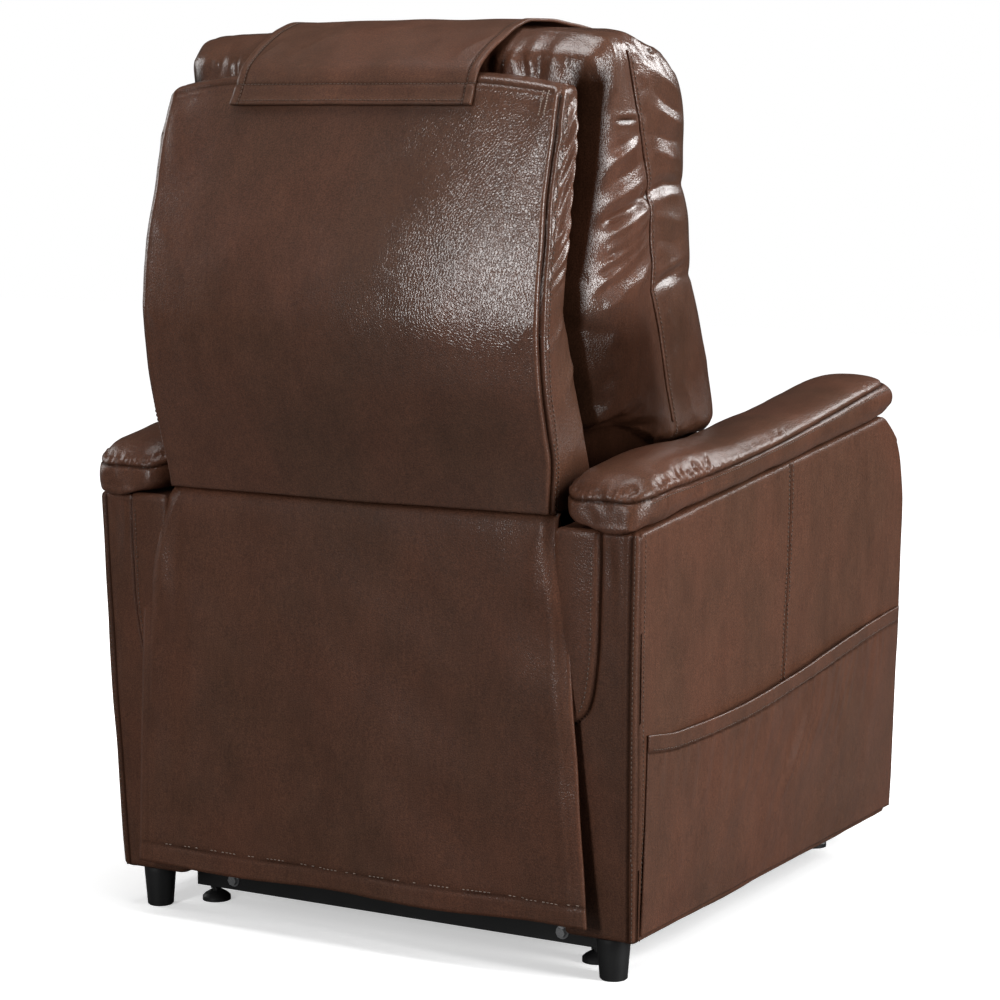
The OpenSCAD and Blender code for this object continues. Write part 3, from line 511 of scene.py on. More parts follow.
motor_grey = speckled("motor_plastic", (0.022, 0.022, 0.024), (0.034, 0.034, 0.036), 0.5, 600.0, 0.25)
zinc = speckled("zinc_plate", (0.42, 0.43, 0.45), (0.60, 0.60, 0.60), 0.30, 500.0, 0.10, 1.0)
alu = speckled("anodised_tube", (0.50, 0.51, 0.53), (0.62, 0.62, 0.63), 0.34, 800.0, 0.08, 1.0)
ply = plywood("plywood")

FINISH = {"leather_brown": hide, "black_plastic": plastic_black, "frame_wood": ply, "zinc_steel": zinc,
          "motor_plastic": motor_grey, "aluminium_tube": alu, "black_steel": steel_black}
record = frame["record"]
for part in record.get("visual", record)["subparts"]:
    ob = frame["nodes"].get(part["node"])
    if ob is None:
        continue
    for s in ob.material_slots:
        s.material = FINISH[part["material_slot"]]
    if not ob.material_slots:
        ob.data.materials.append(FINISH[part["material_slot"]])


def finish(ob, body, mat=hide):
    ob.data.materials.clear()
    ob.data.materials.append(mat)
    if body:
        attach(ob, body)
    return ob


# ---------------------------------------------------------------- thread and piping on a finished piece
def on_surface(ob, path, step):
    """Points step millimetres apart along path, laid onto ob, with the surface normal and the direction."""
    q = np.asarray(path, float)
    seg = np.linalg.norm(np.diff(q, axis=0), axis=1)
    along = np.concatenate([[0], np.cumsum(seg)])
    at = np.arange(0, along[-1], step)
    q = np.stack([np.interp(at, along, q[:, k]) for k in range(3)], -1)
    tree = BVHTree.FromObject(ob, bpy.context.evaluated_depsgraph_get())
    hit, up = [], []
    for v in place(q):
        a, n, _, _ = tree.find_nearest(Vector(v))
        hit.append(a)
        up.append(n)
    hit, up = unplace(np.array(hit)), np.array(up) * [1, -1, 1]
    return hit, up, unit(np.gradient(hit, axis=0))


def stitches(name, ob, paths, body, step=5.6, length=3.9, r=0.62, mat=None, lift=0.15, keep=1.0, seed=3):
    """A row of thread stitches along each path on ob, as one piece."""
    rng = np.random.default_rng(seed)
    ps, fs, base = [], [], 0
    ring = np.array([[math.cos(a), math.sin(a)] for a in np.arange(5) * 2 * math.pi / 5])
    for path in paths:
        hit, up, ahead = on_surface(ob, path, step)
        side = unit(np.cross(ahead, up))
        for c, u, a, s in zip(hit, up, ahead, side):
            if rng.random() > keep:
                continue
            rows = []
            for t, w, h in ((-0.5, 0.35, -0.5), (-0.32, 1, 0.1), (0.32, 1, 0.1), (0.5, 0.35, -0.5)):
                mid = c + a * t * length + u * (lift + h * r)
                rows.append(mid + r * w * (ring[:, :1] * s + ring[:, 1:] * u))
            p, faces = loft(rows)
            ps.append(p)
            fs += [[i + base for i in face] for face in faces]
            base += len(p)
    me = bpy.data.meshes.new(name)
    me.from_pydata(place(np.concatenate(ps)).tolist(), [], fs)
    me.polygons.foreach_set("use_smooth", np.ones(len(me.polygons), bool))
    st = bpy.data.objects.new(name, me)
    bpy.context.collection.objects.link(st)
    return finish(st, body, mat or thread_mat)


def piping(name, ob, path, body, r=2.4, lift=0.5):
    """A sewn welt along path on ob."""
    hit, up, ahead = on_surface(ob, path, 3.0)
    for _ in range(2):
        hit[1:-1] = (hit[:-2] + 2 * hit[1:-1] + hit[2:]) / 4
    side = unit(np.cross(ahead, up))
    a = np.arange(10) * 2 * math.pi / 10
    end = np.ones(len(hit))
    end[0] = end[-1] = 0.3
    rings = (hit + up * lift)[:, None] + r * end[:, None, None] * (
        np.cos(a)[None, :, None] * side[:, None] + np.sin(a)[None, :, None] * up[:, None])
    return finish(mesh_of(name, loft(rings)), body)


# ---------------------------------------------------------------- profiles shared by several pieces
frame_front = table([[430, 108], [480, 108], [530, 74], [564, 45], [606, 22], [652, 5], [686, -10],
                     [720, -19], [755, -29], [790, -24], [830, -13], [894, 0], [994, 12], [1070, 16]])
seam_back = table([[520, -46], [581, -56], [628, -70], [675, -81], [735, -87], [775, -84], [818, -77],
                   [900, -58], [958, -41], [1000, -25]])
cushion_face = table([[480, 352], [500, 374], [560, 388], [600, 390], [640, 382], [700, 360], [740, 347],
                      [790, 330], [840, 326], [880, 314], [930, 306], [970, 300], [1000, 286], [1030, 258],
                      [1048, 220], [1062, 170]])
strap_run = np.array([[331, 1010], [309, 1033], [275, 1052], [229, 1061.5], [178, 1066.5], [130, 1070],
                      [88, 1069.5], [50, 1061], [18, 1046], [-8, 1031], [-28.5, 1015], [-40.6, 992],
                      [-47.6, 974]], float)


def edge_w(z):
    return 264 - 7 * smooth((600 - z) / 70) - 3 * smooth((z - 820) / 60) - 3 * smooth((z - 930) / 70)


def risen(z, v):
    return z + 17 * smooth((z - 900) / 97) * (1 - np.abs(v) ** 3)


def bow(z):
    return 8 + 16 * arch((z - PANEL_LOW) / (PANEL_TOP - PANEL_LOW))


# ---------------------------------------------------------------- outer back
def outer_back():
    zs = np.concatenate([np.linspace(PANEL_LOW, 986, 172), 986 + 11 * rounding_out(0.1, 1, 7)])
    v = np.sin(np.linspace(-1, 1, 171) * math.pi / 2 * 0.96) / math.sin(math.pi / 2 * 0.96)
    g = np.linspace(0, 1, 34)[1:-1]
    rings = []
    for z in zs:
        tuck = 7 * (1 - math.sqrt(max(0.0, 1 - (max(0.0, z - 986) / 11) ** 2)))
        w, rear, front = edge_w(z) - tuck, seam_back(z) + tuck * 0.8, frame_front(z)
        high = risen(z, v)
        face = rear - bow(z) * (1 - tuck / 15) * (1 - np.abs(v) ** 2.4)
        face = face + 4.0 * smooth((np.abs(v) - 0.975) / 0.025) ** 2
        puff = 4.0 * smooth((z - 585) / 60) * np.sin(math.pi * g) ** 0.7
        right = xyz(w + puff, mix(rear + 4.0, front, g), z)
        rings.append(np.concatenate([
            xyz(v * w, face, high), right,
            xyz(v[::-1] * (w - 2), front, high[::-1]), right[::-1] * [-1, 1, 1]]))
    rings = np.array(rings)
    # up inside from the open lower edge, and the crowned top strip drawn together
    inner = rings[[150, 120, 90, 60, 30, 12, 0]].copy()
    centre = (inner[:, 85, 1] + inner[:, 288, 1]) / 2
    inner[..., 0] *= 0.955
    inner[..., 1] = centre[:, None] + (inner[..., 1] - centre[:, None]) * 0.74
    inner[-1, :, 2] += 1.0
    top = np.repeat(rings[-1:], 3, 0)
    halfway = np.interp(top[0, :, 0], rings[-1, :171, 0], (rings[-1, :171, 1] + frame_front(PANEL_TOP)) / 2)
    for ring, t, lift in zip(top, (0.12, 0.35, 0.6), (0.6, 1.6, 2.2)):
        ring[:, 1] = mix(ring[:, 1], halfway, t)
        ring[:, 2] += lift
    n = len(v)
    cap = [[i, i + 1, n + len(g) + n - 2 - i, n + len(g) + n - 1 - i] for i in range(n - 1)]
    cap += [list(range(n - 1, n + len(g) + 1)), list(range(2 * n + len(g) - 1, 2 * n + 2 * len(g))) + [0]]
    ob = mesh_of("outer_back", loft(np.concatenate([inner, rings, top]), cap))
    p = points(ob)
    _, f, z = p.T
    out = 1.0 * ripple(p, 210, 11) + 0.35 * ripple(p, 90, 12)
    folds = []
    rng = np.random.default_rng(5)
    for sgn in (-1, 1):
        slant = [[(17, 986), (-15, 961), (-42, 932)], [(15, 964), (-19, 932), (-46, 900)],
                 [(11, 946), (-19, 910), (-50, 868)], [(9, 916), (-28, 878), (-59, 836)],
                 [(4, 888), (-30, 846), (-66, 820)], [(-2, 856), (-36, 830), (-68, 807)],
                 [(-8, 828), (-40, 806), (-70, 788)]]
        for i, rib in enumerate(slant):
            q = np.array([[sgn * (edge_w(h) + 4), a, h] for a, h in rib], float)
            strong = 1.0 if i < 5 else 0.6
            folds += pleat(q, strong * 4.4, 2.8, [0, 3, -9])
            folds += pleat(q + [0, 6, -15] + rng.uniform(-2, 2, 3) * [0, 1, 1], strong * 2.6, 2.2, [0, 2, -6])
            folds.append([q + [0, -4, 9], strong * -1.2, 4.0])
        for rib, high, wide in (([(-36, 741), (-50, 727), (-72, 710)], 2.8, 3.6),
                                ([(-13, 740), (-4, 708), (-17, 681), (-30, 660)], 3.6, 5.0),
                                ([(-34, 757), (-12, 732), (4, 707)], -3.2, 5.0),
                                ([(-44, 716), (-40, 690), (-52, 660)], -1.6, 7.0),
                                ([(20, 640), (6, 610), (-10, 590)], 1.4, 7.0)):
            folds.append([[[sgn * (edge_w(h) + 4), a, h] for a, h in rib], high, wide])
        folds += sided(sgn, [[[[262, -74, 752], [250, -92, 735], [236, -96, 712]], 1.6, 8],
                             [[[262, -64, 860], [246, -80, 838], [222, -86, 806]], 1.0, 9],
                             [[[258, -30, 990], [246, -52, 958], [232, -66, 905]], 1.6, 9],
                             [[[240, -36, 1000], [226, -56, 968], [214, -66, 930]], -1.1, 9]])
    out += creases(p, folds)
    levels = np.linspace(531, 985, 80)
    painted_shade = np.zeros(len(p))
    for sgn in (-1, 1):
        # a folded welt between two grooves, with shade painted into the grooves
        for shift, deep, wide in ((0.0, 2.0, 1.9), (9.0, 1.3, 1.9)):
            line = xyz(sgn * (edge_w(levels) + (shift > 0)), seam_back(levels) + 4.0 + shift, levels)
            sew(p, out, painted_shade, line, deep, wide, 0.8, 0.85 if shift == 0 else 0.5)
        welt = xyz(sgn * (edge_w(levels) + 0.5), seam_back(levels) + 8.5, levels)
        out += seam(p, welt, -2.2, 3.0, 0.0)[0]
    across = np.linspace(-1, 1, 80)
    top = xyz(across * 250, seam_back(988) - 9 * (1 - np.abs(across) ** 2.4) + 1, risen(988, across))
    # the seam along the top, with shade painted into its groove
    h, t = seam(p, top, 1.6, 2.2, 0.8)
    push(ob, (out + h) * smooth(frame_front(z) - 1 - f))
    shade(ob, np.maximum(painted_shade, 0.8 * t))
    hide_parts("back_panel")
    finish(ob, "back")
    rows = []
    for sgn in (-1, 1):
        rows.append(xyz(sgn * (edge_w(levels) + 3), seam_back(levels) + 8.5, levels))
        rows.append(xyz(sgn * (edge_w(levels) + 4), seam_back(levels) + 18, levels))
    stitches("outer_back_stitches", ob, rows, "back")
    stitches("outer_back_bar_tack", ob, [[[-246, -30, 990], [-246, -46, 966]],
                                         [[-240, -32, 990], [-240, -46, 966]]],
             "back", 3.0, 2.6, 0.8, pale_thread)


# ---------------------------------------------------------------- flap below the outer back
def back_flap():
    m, n = 130, 151
    v, u = np.meshgrid(np.linspace(0, 1, m), np.linspace(-1, 1, n), indexing="ij")
    z = mix(HEM_LINE, 66.0, v)
    left = table([[61, 308], [120, 306], [250, 303], [388, 299], [412, 297], [450, 286], [529, 257]])(z)
    right = table([[61, 306], [200, 296], [380, 281], [529, 262]])(z)
    x = np.where(u > 0, left, right) * u
    fold = 3 * v * np.sin(math.pi * (1.7 * u + 0.8 * v)) * (1 - 0.4 * np.abs(u)) + 1.8 * np.sin(math.pi * v)
    back = 46.5 + 4 * v + fold
    back -= 10 * np.exp(-(HEM_LINE - z) / 9)
    back -= 8 * smooth((np.abs(u) - 0.93) / 0.07) * (1 - 0.5 * v)
    z = z + 2.0 * v * np.sin(7 * u + 1) * smooth((v - 0.8) / 0.2)
    p = xyz(x, -back, z)
    flat = p.reshape(-1, 3)
    soft = [[[[-224, -50, 470], [-206, -50, 330], [-176, -50, 180]], 1.2, 24],
            [[[-262, -50, 440], [-246, -50, 300], [-232, -50, 150]], -1.0, 20],
            [[[-256, -50, 524], [-242, -50, 495], [-240, -50, 420]], 2.0, 9],
            [[[-268, -50, 520], [-264, -50, 470], [-266, -50, 400]], 2.5, 8],
            [[[255, -50, 526], [272, -50, 478], [268, -50, 390]], 2.4, 7],
            [[[244, -50, 515], [250, -50, 440], [246, -50, 340]], -1.4, 9],
            [[[284, -50, 440], [288, -50, 410], [280, -50, 360]], -3.0, 7],
            [[[232, -50, 430], [226, -50, 300], [236, -50, 130]], 2.2, 18],
            [[[262, -50, 330], [256, -50, 220], [262, -50, 110]], -2.0, 16],
            [[[-60, -50, 330], [-30, -50, 230], [-40, -50, 120]], 1.0, 30],
            [[[90, -50, 480], [100, -50, 400], [96, -50, 300]], 0.9, 28],
            [[[-250, -50, 518], [-80, -50, 522], [100, -50, 522], [240, -50, 520]], 1.2, 5]]
    bulge = creases(flat * [1, 0, 1] + [0, -50, 0], soft).reshape(m, n)
    bulge = bulge + 0.8 * ripple(flat, 120, 21).reshape(m, n)
    hem = bell(z - 91, 2.2) * -0.8 + 0.7 * smooth((91 - z) / 3)
    side_hem = 0.8 * smooth((np.abs(u) - 0.957) / 0.006) - 0.6 * bell(np.abs(u) - 0.955, 0.006)
    p[..., 1] -= bulge
    outer = p.copy()
    outer[..., 1] -= 2.6 + hem + side_hem
    ob = mesh_of("back_flap_cloth", cloth(p, outer - p))
    # painted shade in the hem's stitch groove and along the side hems
    painted_shade = 0.6 * np.maximum(bell(z - 91, 1.8), bell(np.abs(u) - 0.955, 0.004))
    shade_cloth(ob, painted_shade)
    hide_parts("back_flap")
    finish(ob, None, flat_hide)
    row = xyz(np.linspace(-296, 290, 90), -56.0, 92.5)
    st = stitches("back_flap_stitches", ob, [row], "chair", 5.4, 3.4, 0.6, pale_thread, 0.2, 0.45, 8)
    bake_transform(ob)


# ---------------------------------------------------------------- head pillow and its strap
def head_pillow():
    zs = 838.6 + 170.8 * (1 - np.cos(np.linspace(0.02, 1, 46) * math.pi)) / 2
    c, s = circle(120)
    rings = []
    for z in zs:
        e = float(min(rounded_end(z - 838, 40), rounded_end(1010 - z, 40)))
        t, mid = 23 * mix(0.3, 1, e), 346.5 - 0.13 * (z - 838)
        rings.append(xyz(163 * mix(0.9, 1, e) * squared(c, 0.625), mid + t * squared(s, 0.625), z))
    ob = mesh_of("head_pillow_cover", loft(rings))

    def rim(p):
        return bell(p[:, 1] - (346.5 - 0.13 * (p[:, 2] - 838)), 5) * (np.abs(p[:, 0]) > 150)

    inflate(ob, 4.5, 6, 3.0, rim)
    p = points(ob)
    x, f, z = p.T
    mid = 346.5 - 0.13 * (z - 838)
    folds = []
    rng = np.random.default_rng(9)
    for at in np.linspace(-140, 140, 13):
        at += rng.uniform(-6, 6)
        for z0, z1 in ((1004, 985), (843, 860)):
            folds.append([[[at, 372, z0], [at + rng.uniform(-5, 5), 376, z1]], -1.4, 4.5])
    out = creases(p, folds) + 1.0 * ripple(p, 80, 31)
    # the seam round the edge sinks in, and shade is painted into it
    edge = bell(f - mid, 1.6) * ((np.abs(x) > 148) | (z > 996) | (z < 850))
    push(ob, out - 1.6 * edge)
    shade(ob, 0.7 * edge)
    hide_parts("head_pillow")
    finish(ob, "pillow")


def pillow_strap():
    s = np.concatenate([[0], np.cumsum(np.linalg.norm(np.diff(strap_run, axis=0), axis=1))])
    at = np.linspace(0, s[-1], 170)
    ff, zz = table(np.stack([s, strap_run[:, 0]], -1))(at), table(np.stack([s, strap_run[:, 1]], -1))(at)
    n = 121
    u = np.linspace(-1, 1, n)
    d = np.gradient(np.stack([ff, zz], -1), axis=0)
    nor = unit(np.stack([d[:, 1], -d[:, 0]], -1))
    ends = s[-1] - at
    half = 161 - 2.5 * smooth((at - s[-1] + 120) / 60) + 1.5 * smooth((at - s[-1] + 30) / 30)
    x = u[None] * half[:, None]
    bulge = 3.6 * smooth((10 - ff[:, None]) / 45) * (1 - np.abs(u) ** 2.4)[None]
    lift = 1.5 * arch((at - 180) / 240)[:, None] * (0.5 + 0.5 * np.cos(math.pi * u))[None]
    grid = xyz(x, ff[:, None] - bulge + 0 * x, zz[:, None] + 0 * x)
    flat = grid.reshape(-1, 3)
    lines = [[[[-120, -20, 1014], [-60, -16, 1018], [20, -18, 1016]], 1.6, 6],
             [[[60, 40, 1058], [90, 0, 1034], [104, -24, 1008]], 1.3, 9],
             [[[-150, 30, 1052], [-128, 0, 1034], [-120, -20, 1014]], 1.6, 7],
             [[[130, 20, 1048], [140, -10, 1026], [150, -30, 1000]], 1.5, 6],
             [[[140, -36, 1002], [60, -34, 1004], [-40, -34, 1003]], 1.2, 6],
             [[[-100, -44, 976], [-96, -36, 988], [-104, -28, 1002]], 0.9, 6],
             [[[20, -52, 976], [30, -42, 990], [24, -32, 1004]], 0.8, 6]]
    wav = creases(flat, lines).reshape(len(at), n) + 0.5 * ripple(flat, 70, 41).reshape(len(at), n)
    up = xyz(np.zeros(len(at)), nor[:, 0], nor[:, 1])[:, None]
    # the folded hem stands off the outer back
    grid = grid + up * (np.maximum(lift + wav, -0.2) + 2.2 * smooth((14 - ends) / 14)[:, None])[..., None]
    stitch = bell(ends - 25, 1.6)[:, None]
    hem = 1.4 * smooth((27 - ends) / 3)[:, None] - 1.2 * stitch
    edge = 0.9 * smooth((np.abs(u) - 0.935) / 0.015) - 0.7 * bell(np.abs(u) - 0.93, 0.012)
    thick = 2.5 + hem + edge[None]
    ob = mesh_of("pillow_strap_cloth", cloth(grid, up * thick[..., None]))
    # painted shade along the stitch line and in the grooves by the edges
    painted_shade = 0.7 * np.maximum(stitch + 0 * x, bell(np.abs(u) - 0.93, 0.008)[None] + 0 * x)
    shade_cloth(ob, painted_shade)
    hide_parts("pillow_strap")
    finish(ob, "pillow", flat_hide)
    k = int(np.argmin(np.abs(ends - 25)))
    j = int(np.argmin(np.abs(ends - 5)))
    rows = [grid[k] + up[k] * 4, grid[j, 4:-4] + up[j] * 4, grid[20:, 4] + up[20:, 0] * 4,
            grid[20:, -5] + up[20:, 0] * 4]
    st = stitches("pillow_strap_stitches", ob, rows, "pillow", 5.0, 3.6, 0.55)


# ---------------------------------------------------------------- back cushion
side_seam = table([[481, 262], [540, 240], [597, 212], [663, 187], [718, 168], [767, 151], [791, 149],
                   [880, 140], [961, 112], [1040, 87], [1062, 80]])


def wing(f, z):
    above = z - np.maximum(pad_seam(f), pad_seam(60)) - 50 * (1 - 0.21 * smooth((f - 60) / 180))
    return np.minimum(smooth((np.hypot(f - RECLINE_PIVOT[0], z - RECLINE_PIVOT[1]) - 213) / 12),
                      smooth(above / 14))


def back_cushion():
    zs = np.concatenate([481.4 + 50 * rounding_in(0, 1, 12),
                         np.linspace(534, 1018, 112),
                         1020 + 41.4 * rounding_out(0, 1, 14)])
    c, s = circle(240)
    rings = []
    for z in zs:
        e = float(min(rounded_end(z - 481, 50), rounded_end(1062 - z, 40)))
        front, rear = float(cushion_face(z)) - 8, float(frame_front(z)) + 0.6
        power = np.where(s > 0, mix(5.0, 4.2, smooth((z - 720) / 120)), 9.0)
        mid, deep = (front + rear) / 2 + 14 * (1 - e), (front - rear) / 2 * mix(0.35, 1, e)
        q0, q1 = squared(c, 2 / power), squared(s, 2 / power)
        groove = bell(z - 778, 14) + bell(z - 884, 14)
        f = mid + deep * q1 - 17 * groove * (1 - 0.95 * q0 ** 4) * np.maximum(q1, 0)
        full = 281 - 27 * (1 - float(rounded_end(1062 - z, 40)))
        w = mix(259, full, wing(f, z)) * (mix(0.9, 1, e) if z < 700 else 1)
        rings.append(xyz(w * q0, f, z - 4 * np.abs(q0) ** 3 * smooth((z - 1000) / 55)))
    ob = mesh_of("back_cushion_cover", loft(rings))

    def held(p):
        x, f, z = p.T
        front = f > side_seam(z)
        sewn = np.maximum(bell(z - 778, 9), bell(z - 884, 9)) * front
        welt = bell(f - side_seam(z), 8) * (np.abs(x) > 200)
        flat = smooth((frame_front(z) + 14 - f) / 8)
        return np.maximum.reduce([sewn, welt, flat, smooth((500 - z) / 10)])

    inflate(ob, 5.5, 8, 4.0, held, 1.5)
    p = points(ob)
    x, f, z = p.T
    painted_shade = np.zeros(len(p))
    out = 1.1 * ripple(p, 95, 51) + 0.5 * ripple(p, 45, 52)
    front = smooth((f - side_seam(z) + 6) / 16)
    # the sewn channels bite in, the stuffed bands between them stand out
    inward = 1 - 0.8 * smooth((np.abs(x) - 200) / 60)
    out -= 6.0 * (bell(z - 778, 7) + bell(z - 884, 7)) * front * inward
    # shade painted into the sewn channels
    painted_shade = np.maximum(painted_shade, 0.75 * (bell(z - 778, 3) + bell(z - 884, 3)) * front * inward)
    band = arch((z - 778) / 106) + arch((z - 884) / 150) + arch((z - 520) / 258) ** 0.8
    out += 3.5 * band * smooth((f - side_seam(z) - 40) / 60)
    # puckers that run into the channels and the welted side seams
    rng = np.random.default_rng(7)
    folds = []
    for cz in CHANNELS:
        for at in np.linspace(-225, 225, 24):
            at += rng.uniform(-6, 6)
            for way in (-1, 1):
                h, l = rng.uniform(1.2, 2.8), rng.uniform(16, 34)
                face = float(cushion_face(cz))
                folds.append([[[at, face - 14, cz + way * 5],
                               [at + rng.uniform(-7, 7), face - 4, cz + way * l]], -h, rng.uniform(3, 4.5)])
    for sg in (-1, 1):
        for cz in np.concatenate([np.arange(570, 760, 27.0), np.arange(795, 1030, 19.0)]):
            cz += rng.uniform(-6, 6)
            f0, l = float(side_seam(cz)), rng.uniform(20, 46)
            folds.append([[[sg * 284, f0 + 4, cz], [sg * 284, f0 + l * 0.6, cz + rng.uniform(-6, 8)],
                           [sg * 280, f0 + l, cz + rng.uniform(-8, 14)]],
                          -rng.uniform(0.5, 1.4) * (0.4 if cz < 760 else 1), rng.uniform(3, 5)])
        # stuffing dragged rearwards and down from the ends of the channels
        for rib, high, wide in (
                ([(252, 884), (188, 886), (143, 875), (77, 857), (18, 841), (-33, 821)], -8.0, 4.2),
                ([(146, 862), (113, 855), (53, 836), (2, 820)], 4.0, 4.2),
                ([(240, 872), (200, 874), (170, 868)], 3.0, 4.5),
                ([(130, 893), (94, 884), (41, 868), (6, 853)], 3.2, 4.5),
                ([(126, 914), (60, 894), (6, 868)], -2.6, 5.0),
                ([(114, 938), (52, 915), (8, 890)], 4.2, 7.5),
                ([(118, 946), (66, 930), (10, 908)], -1.8, 6.0),
                ([(40, 952), (26, 944), (6, 926)], 2.6, 4.5),
                ([(52, 992), (30, 978), (14, 964)], 2.8, 6.0),
                ([(30, 1026), (20, 1010), (9, 994)], 2.8, 5.0),
                ([(44, 1012), (34, 990), (22, 968)], -2.4, 5.0),
                ([(150, 856), (89, 832), (36, 812)], 3.6, 8.0),
                ([(132, 838), (66, 816), (0, 798)], -3.0, 4.2),
                ([(124, 831), (53, 807), (-1, 789)], 3.6, 3.6),
                ([(120, 822), (60, 799), (0, 780)], -2.6, 3.8),
                ([(134, 822), (54, 791), (-5, 770)], 3.8, 4.2),
                ([(120, 805), (60, 782), (0, 760)], -2.4, 5.0),
                ([(148, 800), (90, 770), (26, 750)], 5.5, 10.0),
                ([(148, 764), (190, 778), (232, 790), (256, 790)], -7.0, 4.2),
                ([(165, 782), (205, 793), (250, 802)], 3.2, 5.0),
                ([(214, 770), (216, 780), (228, 784), (262, 778)], 2.2, 2.8),
                ([(150, 1012), (180, 1000), (224, 984)], 3.4, 9.0),
                ([(146, 990), (180, 976), (224, 962)], -3.2, 6.0),
                ([(150, 972), (190, 958), (240, 950)], 3.6, 9.0),
                ([(150, 944), (190, 936), (240, 932)], -3.0, 6.0),
                ([(150, 924), (190, 915), (236, 912)], 3.4, 9.0),
                ([(150, 900), (200, 898), (250, 900)], 1.6, 6.0),
                ([(160, 850), (205, 842), (250, 846)], 2.6, 10.0),
                ([(160, 824), (200, 818), (240, 824)], -1.8, 7.0),
                ([(185, 742), (200, 720), (206, 690)], 1.8, 9.0),
                ([(215, 660), (240, 640), (262, 612)], 1.6, 9.0)):
            folds.append([[[sg * CUSHION_SIDE, a, h] for a, h in rib], high * 1.25, wide * 0.85])
        # notch where the top strip meets the gusset
        folds += sided(sg, [[[[250, 40, 1062], [272, 39, 1050], [283, 34, 1030], [284, 30, 1000],
                              [284, 26, 968]], -6.5, 4.2],
                            [[[262, 60, 1056], [280, 58, 1030], [284, 54, 985]], 3.0, 8],
                            [[[258, 20, 1052], [278, 19, 1026], [284, 14, 985]], 3.0, 6],
                            [[[190, 70, 1064], [214, 64, 1062], [240, 60, 1058]], 1.6, 8]])
        for at in (150, 166, 184, 202, 219, 237):
            at += rng.uniform(-4, 4)
            folds.append([[[sg * at, 40, 1060], [sg * (at + rng.uniform(-6, 6)), 16, 1040],
                           [sg * (at + rng.uniform(-9, 9)), 12, 1000]], -rng.uniform(2.6, 4.2),
                           rng.uniform(3.4, 5)])
            folds.append([[[sg * (at + 9), 30, 1056], [sg * (at + 8), 15, 1036],
                           [sg * (at + 7), 12, 1008]], rng.uniform(1.6, 2.6), 4])
    out += creases(p, folds)
    levels = np.linspace(500, 1040, 90)
    pipe_paths = []
    # the welted side seams and the seams of the top strip, each with shade painted into its groove
    for sg in (-1, 1):
        line = xyz(sg * (285 - 30 * smooth((600 - levels) / 60)), side_seam(levels), levels)
        sew(p, out, painted_shade, line, 3.4, 3.4, 1.2, 0.8)
        pipe_paths.append(line)
        for path, dpt in sided(sg, (([[284, -7, 954], [285, 45, 958], [285, 112, 960]], 2.6),
                                    ([[262, 84, 1042], [280, 100, 1040], [281, 140, 1037],
                                      [262, 190, 1033], [232, 222, 1038]], 2.6),
                                    ([[150, 64, 1056], [190, 60, 1053], [235, 58, 1052],
                                      [262, 52, 1044]], 2.4))):
            sew(p, out, painted_shade, path, dpt, 2.2, 0.9, 0.85)
    # painted shade in the gap behind the cushion, on the lower sides and down into the crevice at the arm
    side = smooth((np.abs(x) - 240) / 16)
    painted_shade = np.maximum(painted_shade, side * 0.95 * smooth((frame_front(z) + 48 - f) / 24) * smooth((1035 - z) / 40))
    behind = 0.45 + 0.55 * smooth((side_seam(z) + 10 - f) / 60)
    painted_shade = np.maximum(painted_shade, side * 0.80 * smooth((795 - z) / 90) * behind)
    painted_shade = np.maximum(painted_shade, 0.97 * smooth((np.abs(x) - 215) / 15) * (1 - wing(f, z)) * smooth((700 - z) / 20))
    push(ob, out)
    p = points(ob)
    x, f, z = p.T
    # it stays clear of the arms, the back's frame and its box, and under the strap
    limit = np.where(wing(f, z) < 0.02, 259.5, 292.0)
    p[:, 0] = np.clip(x, -limit, limit)
    p[:, 1] = np.clip(f, frame_front(z) + 0.5, None)
    run = strap_run[::-1]
    roof = np.where((np.abs(x) < 165) & (f < 331), np.interp(f, run[:, 0], run[:, 1]) - 1.2, 1069.0)
    p[:, 2] = np.clip(z, 479.5, np.where(z > 1000, roof, 1069.0))
    set_points(ob, p)
    shade(ob, painted_shade)
    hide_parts("back_cushion")
    finish(ob, "back")
    for sg, line in zip((-1, 1), pipe_paths):
        piping("cushion_welt_" + SIDES[sg], ob, line[18:], "back", 1.9, 0.9)
    levels = np.linspace(560, 1030, 80)
    rows = [xyz(sg * 285, side_seam(levels) + 7, levels) for sg in (-1, 1)]
    wide = np.linspace(-225, 225, 70)
    for cz in CHANNELS:
        rows.append(xyz(wide, 0 * wide + float(cushion_face(cz)) - 20, cz))
    stitches("cushion_stitches", ob, rows, "back", 6.0, 4.0, 0.6)


# ---------------------------------------------------------------- arms
def pad_seam(f):
    return 516 + 70 * (f + 30) / 730


arm_rear = table([[49, -22], [400, -38], [515, -42]])
arm_fore = table([[49, 697], [200, 718], [400, 724], [463, 721], [504, 710], [545, 691], [584, 650]])


def arm_outer(z):
    return 353 + 12 * (z - 49) / 451


